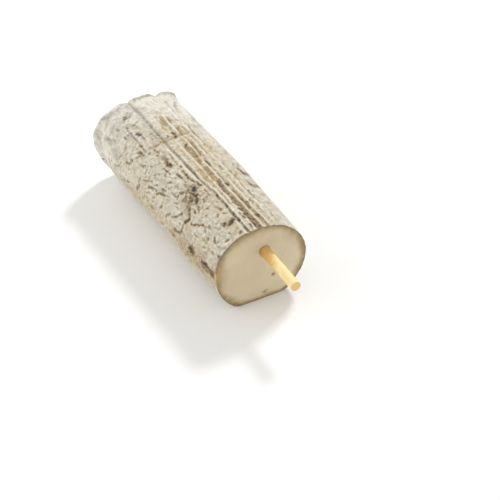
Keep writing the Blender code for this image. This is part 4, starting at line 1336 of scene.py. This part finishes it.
def build_straw():
    """The straw: a fine-sided rod with its edges broken and shallow fibres along it."""
    front = Vector((STRAW_OUT, straw_middle(STRAW_OUT), STRAW_HEIGHT))
    rear_x = -LOG_LENGTH + END_DISH - STRAW_BACK_OUT
    rear = Vector((rear_x, straw_middle(rear_x), STRAW_HEIGHT))
    length = (front - rear).length
    start_fresh()
    bpy.ops.mesh.primitive_cylinder_add(
        vertices=STRAW_FACETS,
        radius=STRAW_RADIUS,
        depth=length,
        end_fill_type="NGON",
        location=(front + rear) / 2 + Vector((CUT_FACE_X, LOG_SIDE, 0)),
        rotation=facing(front - rear),
    )
    straw = bpy.context.object
    straw.name = "dressed_rye_straw"
    select_only(straw.data, "FACE", "polygons", is_end_cap)
    for inset in STRAW_END_RINGS:
        bpy.ops.mesh.inset(thickness=inset)
    bpy.ops.object.mode_set(mode="OBJECT")
    select_only(straw.data, "EDGE", "edges", runs_along)
    bpy.ops.mesh.subdivide(number_cuts=STRAW_CUTS)
    bpy.ops.object.mode_set(mode="OBJECT")

    shape_straw(straw.data, length / 2)
    straw.data.materials.append(straw_material())
    bpy.ops.object.transform_apply(location=True, rotation=True, scale=True)
    bpy.ops.object.shade_smooth_by_angle(angle=math.radians(38))
    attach(straw, "root")
    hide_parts("rye_straw")


def shape_straw(mesh, half):
    """Moves the straw's skin in: fibres along it, a worn edge, an uneven end."""
    flat = np.zeros(len(mesh.vertices) * 3)
    mesh.vertices.foreach_get("co", flat)
    points = flat.reshape(-1, 3)
    radius = np.hypot(points[:, 0], points[:, 1])
    skin = radius > STRAW_RADIUS * (1 - HARDLY)
    angle = np.arctan2(points[:, 1], points[:, 0])
    around = np.stack([np.cos(angle), np.sin(angle), points[:, 2] / FIBRE_LENGTH], axis=-1)
    fibre = soft_noise(around * FIBRES_ACROSS, 1.0)
    wander = soft_noise(points, WANDER_SIZE)
    drawn = FIBRE_DEPTH * (fibre - 0.5) + WANDER_DEPTH * (wander - 0.5)
    near_end = half - np.abs(points[:, 2])
    drawn -= WORN_EDGE * bump(near_end, WORN_REACH)
    scale = np.where(skin, 1 + drawn / STRAW_RADIUS, 1.0)
    points[:, :2] *= scale[:, None]
    ends = near_end < HARDLY * MM
    rough = ROUGH_END * (soft_noise(points, ROUGH_SIZE) - 0.9)
    points[:, 2] += np.where(ends & ~skin, np.sign(points[:, 2]) * rough, 0.0)
    mesh.vertices.foreach_set("co", points.ravel())


class Paint:
    """A material, and the colour that its layers have come to so far."""

    def __init__(self, name, roughness):
        self.material = bpy.data.materials.new(name)
        self.material.use_nodes = True
        self.tree = self.material.node_tree
        self.shader = self.tree.nodes["Principled BSDF"]
        self.shader.inputs["Roughness"].default_value = roughness
        self.colour = None

    def node(self, kind):
        return self.tree.nodes.new("ShaderNode" + kind)

    def feed(self, socket, value):
        """Sets a socket, or links it when the value is another node's output."""
        if isinstance(value, bpy.types.NodeSocket):
            self.tree.links.new(value, socket)
        elif isinstance(value, tuple) and len(value) == 3 and len(socket.default_value) == 4:
            socket.default_value = value + (1.0,)
        else:
            socket.default_value = value

    def noise(self, size, detail=2.0, roughness=0.5, stretch=None):
        """Noise on the piece's own place, its lumps about this size in metres."""
        place = self.node("TexCoord").outputs["Object"]
        if stretch:
            mapping = self.node("Mapping")
            self.feed(mapping.inputs["Scale"], stretch)
            self.feed(mapping.inputs["Vector"], place)
            place = mapping.outputs["Vector"]
        texture = self.node("TexNoise")
        self.feed(texture.inputs["Vector"], place)
        self.feed(texture.inputs["Scale"], 1 / size)
        self.feed(texture.inputs["Detail"], detail)
        self.feed(texture.inputs["Roughness"], roughness)
        return texture.outputs[0]

    def looks(self, name):
        attribute = self.node("Attribute")
        attribute.attribute_name = name
        return attribute.outputs["Fac"]

    def spread(self, value, from_low, from_high, to_low=0.0, to_high=1.0):
        """Stretches a value from one range to another, smoothly and held at the ends."""
        ranger = self.node("MapRange")
        ranger.interpolation_type = "SMOOTHSTEP"
        names = ("Value", "From Min", "From Max", "To Min", "To Max")
        for name, amount in zip(names, (value, from_low, from_high, to_low, to_high)):
            self.feed(ranger.inputs[name], amount)
        return ranger.outputs["Result"]

    def maths(self, operation, first, second):
        step = self.node("Math")
        step.operation = operation
        self.feed(step.inputs[0], first)
        self.feed(step.inputs[1], second)
        return step.outputs[0]

    def times(self, first, second):
        return self.maths("MULTIPLY", first, second)

    def mixed(self, share, first, second, way="MIX"):
        mixer = self.node("Mix")
        mixer.data_type = "RGBA"
        mixer.blend_type = way
        self.feed(mixer.inputs[0], share)
        self.feed(mixer.inputs[6], first)
        self.feed(mixer.inputs[7], second)
        return mixer.outputs[2]

    def cover(self, share, colour):
        """Lays a colour over what is there."""
        self.colour = self.mixed(share, self.colour, colour)

    def layers(self, *rows):
        """Lays on several colours: value, where each begins and is full, its share then, colour."""
        for value, begins, full, share, colour in rows:
            self.cover(self.spread(value, begins, full, 0.0, share), colour)

    def dust_over(self, grain, darkest):
        """Darkens the colour unevenly by a fine grain."""
        level = self.spread(grain, 0.3, 0.7, darkest, 1.0)
        grey = self.node("CombineColor")
        for name in ("Red", "Green", "Blue"):
            self.feed(grey.inputs[name], level)
        self.colour = self.mixed(DUST_SHARE, self.colour, grey.outputs["Color"], "MULTIPLY")

    def raise_surface(self, *layers):
        """Fine bumps under the mesh's own relief: height values, each with its depth in metres."""
        normal = None
        for height, depth in layers:
            bumps = self.node("Bump")
            self.feed(bumps.inputs["Distance"], depth)
            self.feed(bumps.inputs["Strength"], 1.0)
            self.feed(bumps.inputs["Height"], height)
            if normal:
                self.feed(bumps.inputs["Normal"], normal)
            normal = bumps.outputs["Normal"]
        self.feed(self.shader.inputs["Normal"], normal)

    def done(self, grain, smoothest, roughest):
        """Hands the colour and a roughness that follows a grain to the shader."""
        self.feed(self.shader.inputs["Base Color"], self.colour)
        roughness = self.spread(grain, 0.3, 0.7, smoothest, roughest)
        self.feed(self.shader.inputs["Roughness"], roughness)
        return self.material


def rind_material():
    """Dry cream rind: grey and beige clouds, dirt in the creases with painted shade in the hollows and
    pits, pale flakes with a painted highlight on raised places, ochre and rust stains.
    """
    rind = Paint("mould_ripened_rind", 0.85)
    clouds = rind.noise(9 * MM)
    mottle = rind.noise(2.6 * MM, roughness=0.6)
    crumbs = rind.noise(1.6 * MM)
    gold = rind.noise(3.8 * MM, roughness=0.6, stretch=(0.8, 1.1, 0.9))
    grey = rind.noise(4.6 * MM, roughness=0.6, stretch=(1.1, 0.9, 1.2))
    flecks = rind.noise(1.2 * MM, roughness=0.6)
    specks = rind.noise(0.7 * MM, detail=1.0)
    dust = rind.noise(0.35 * MM, detail=1.0)
    bloom = rind.looks("bloom")

    rind.colour = rind.mixed(rind.spread(clouds, 0.38, 0.64), CREAM, BEIGE)
    rind.layers(
        (mottle, 0.50, 0.68, 0.5, BROWN_MOTTLE),
        (mottle, 0.48, 0.30, 0.5, PALE_MOTTLE),
        (gold, 0.56, 0.68, 0.5, GOLDEN_CLOUD),
        (grey, 0.56, 0.70, 0.5, GREY_CLOUD),
        (crumbs, 0.52, 0.68, 0.28, DARK_CRUMB),
        (crumbs, 0.48, 0.34, 0.36, PALE_CRUMB),
    )
    rind.cover(rind.times(bloom, rind.spread(mottle, 0.4, 0.62, 0.92, 0.42)), WHITE_BLOOM)
    rind.layers((flecks, 0.60, 0.70, 0.4, WARM_FLECK))
    rind.cover(rind.times(rind.looks("tan"), rind.spread(mottle, 0.2, 0.6, 0.6, 1.0)), OCHRE)
    # pale flakes and a painted highlight on raised rind
    rind.cover(rind.times(rind.looks("paleness_and_highlight"), 0.7), rind.mixed(bloom, *FLAKE_AND_HIGHLIGHT))
    rind.cover(rind.times(rind.looks("halo"), 0.45), rind.mixed(bloom, *HALO))
    # dirt in the marks and painted shade in the hollows and pits
    dirt_and_shade = rind.times(rind.looks("dark"), rind.spread(crumbs, 0.3, 0.6, 0.8, 1.1))
    rind.layers(
        (dirt_and_shade, 0.04, 0.55, 0.85, rind.mixed(bloom, *THIN_DIRT_AND_SHADE)),
        (dirt_and_shade, 0.5, 1.0, 0.96, rind.mixed(bloom, *THICK_DIRT_AND_SHADE)),
    )
    rind.cover(rind.times(rind.looks("rust"), rind.spread(specks, 0.3, 0.6, 0.35, 0.95)), RUST)
    rind.dust_over(dust, 0.75)
    rind.raise_surface((crumbs, 0.45 * MM), (specks, 0.12 * MM), (dust, 0.03 * MM))
    return rind.done(mottle, 0.78, 0.95)


def paste_material():
    """Cut paste: matt ivory, a browner ring under the rind, and the rind's own dark line."""
    paste = Paint("cut_goat_cheese", 0.55)
    ragged = paste.noise(3.2 * MM, roughness=0.6)
    clouds = paste.noise(9 * MM, detail=1.0)
    uneven = paste.noise(16 * MM, detail=1.0)
    curd = paste.noise(0.8 * MM, detail=3.0, roughness=0.6)
    eyes = paste.looks("dark")
    depth = paste.maths("ADD", paste.looks("inset"), paste.spread(ragged, 0.3, 0.7, -0.5, 0.5))
    depth = paste.times(depth, paste.spread(uneven, 0.35, 0.65, 0.65, 1.4))

    paste.colour = paste.mixed(paste.spread(clouds, 0.35, 0.65), IVORY, PALE_IVORY)
    paste.cover(paste.times(paste.looks("paleness_and_highlight"), 0.7), PALE_PASTE)
    paste.layers(
        (depth, 5.4, 0.9, 0.85, RING),
        (depth, 3.3, 0.4, 0.8, RING_EDGE),
        (depth, 1.3, 0.2, 0.62, RIND_LINE),
    )
    golden = paste.times(paste.looks("tan"), paste.spread(curd, 0.3, 0.6, 0.6, 1.0))
    paste.cover(golden, GOLDEN_EDGE)
    # painted shade in the eyes, darkest at their bottoms
    paste.layers((eyes, 0.02, 0.7, 0.85, EYE_SHADE), (eyes, 0.6, 1.0, 0.7, EYE_BOTTOM_SHADE))
    paste.dust_over(curd, 0.8)
    paste.shader.inputs["Subsurface Weight"].default_value = 0.25
    paste.shader.inputs["Subsurface Radius"].default_value = (1.0, 0.7, 0.4)
    paste.shader.inputs["Subsurface Scale"].default_value = 1.2 * MM
    paste.raise_surface((curd, 0.04 * MM))
    return paste.done(curd, 0.48, 0.62)


def straw_material():
    """Dry golden straw: fine streaks along it, speckles, and a stain where it leaves the cheese, with
    the log's painted shadow over its first part and painted shade on its lower, left side.
    """
    straw = Paint("dry_rye_straw", 0.5)
    streaks = straw.noise(0.45 * MM, roughness=0.6, stretch=(0.06, 1.0, 1.0))
    speckles = straw.noise(0.35 * MM, roughness=0.6)
    grains = straw.noise(0.95 * MM, roughness=0.7)
    clouds = straw.noise(4 * MM, detail=1.0)
    straw.colour = straw.mixed(straw.spread(streaks, 0.3, 0.7), STRAW_YELLOW, STRAW_GOLD)
    straw.layers(
        (clouds, 0.35, 0.65, 0.35, PALE_STRAW),
        (speckles, 0.58, 0.72, 0.45, STRAW_SPECKLE),
        (grains, 0.5, 0.68, 0.22, STRAW_GRAIN),
    )

    split = straw.node("SeparateXYZ")
    straw.feed(split.inputs["Vector"], straw.node("TexCoord").outputs["Object"])
    wavy = straw.spread(grains, 0.3, 0.7, -STAIN_AND_SHADOW_WAVE, STAIN_AND_SHADOW_WAVE)
    # the stain and painted shadow reach further along the straw's lower and left side, away from the
    # light
    upward = straw.maths("SUBTRACT", split.outputs["Z"], STRAW_HEIGHT)
    aside = straw.maths("SUBTRACT", split.outputs["Y"], STRAW_SIDE)
    along = straw.maths("ADD", split.outputs["X"], wavy)
    along = straw.maths("ADD", along, straw.times(upward, 0.8))
    along = straw.maths("ADD", along, straw.times(aside, 1.4))
    tip = CUT_FACE_X + STRAW_OUT
    # stain with the log's painted shadow over the straw's first part, then darker stain with painted
    # shade next to the cut face
    straw.layers(
        (along, CUT_FACE_X + 15 * MM, CUT_FACE_X + 6.2 * MM, 0.9, STRAW_STAIN_AND_SHADOW),
        (along, CUT_FACE_X + 3 * MM, CUT_FACE_X - 2 * MM, 0.5, STRAW_BURNT_AND_SHADE),
        (split.outputs["X"], tip - 0.3 * MM, tip - 0.1 * MM, 0.75, STRAW_TIP),
    )
    straw.raise_surface((streaks, 0.04 * MM), (speckles, 0.02 * MM))
    return straw.done(streaks, 0.42, 0.6)


def facing(direction):
    return direction.to_track_quat("Z", "Y").to_euler()


def set_camera():
    level = math.cos(CAMERA_RISE)
    x = math.cos(CAMERA_TURN) * level
    y = math.sin(CAMERA_TURN) * level
    backward = Vector((x, y, math.sin(CAMERA_RISE)))
    start_fresh()
    bpy.ops.object.camera_add(location=CAMERA_PLACE, rotation=facing(backward))
    camera = bpy.context.object
    camera.name = "photo_camera"
    camera.data.lens = CAMERA_LENS
    camera.data.sensor_width = CAMERA_SENSOR
    camera.data.clip_start = NEAREST_SEEN
    bpy.context.scene.camera = camera


def add_light(name, place, turn, size, energy):
    start_fresh()
    bpy.ops.object.light_add(type="AREA", location=place, rotation=turn)
    light = bpy.context.object
    light.name = name
    light.data.shape = "SQUARE"
    light.data.size = size
    light.data.energy = energy


def set_studio():
    """A pale floor in a pale room, a softbox behind the log's far end, and two softer lights."""
    start_fresh()
    bpy.ops.mesh.primitive_plane_add(size=FLOOR_SIZE)
    floor = bpy.context.object
    floor.name = "studio_floor"
    paint = Paint("pale_floor", 0.9)
    paint.feed(paint.shader.inputs["Base Color"], FLOOR_COLOUR)
    floor.data.materials.append(paint.material)

    behind = Vector((-0.45, 0.6, 0.68)).normalized()
    beside = Vector((-0.4, -1.0, 0.55)).normalized()
    add_light("softbox", behind * LIGHT_DISTANCE, facing(behind), 0.22, 8.5)
    add_light("ceiling_light", (-0.2, 0.1, 1.6), (0, 0, 0), 2.2, 3.5)
    add_light("side_fill", beside * LIGHT_DISTANCE, facing(beside), 1.0, 6)
    world = bpy.data.worlds.new("pale_room")
    world.use_nodes = True
    background = world.node_tree.nodes["Background"]
    background.inputs["Color"].default_value = ROOM_COLOUR
    background.inputs["Strength"].default_value = ROOM_STRENGTH
    bpy.context.scene.world = world
    bpy.context.scene.view_settings.view_transform = "Standard"


WORMS = worm_field(WORM_SEED, WORM_WAVE, 6)
PATCHES = worm_field(PATCH_SEED, PATCH_WAVE, 2)

set_camera()
set_studio()
build_log()
build_straw()
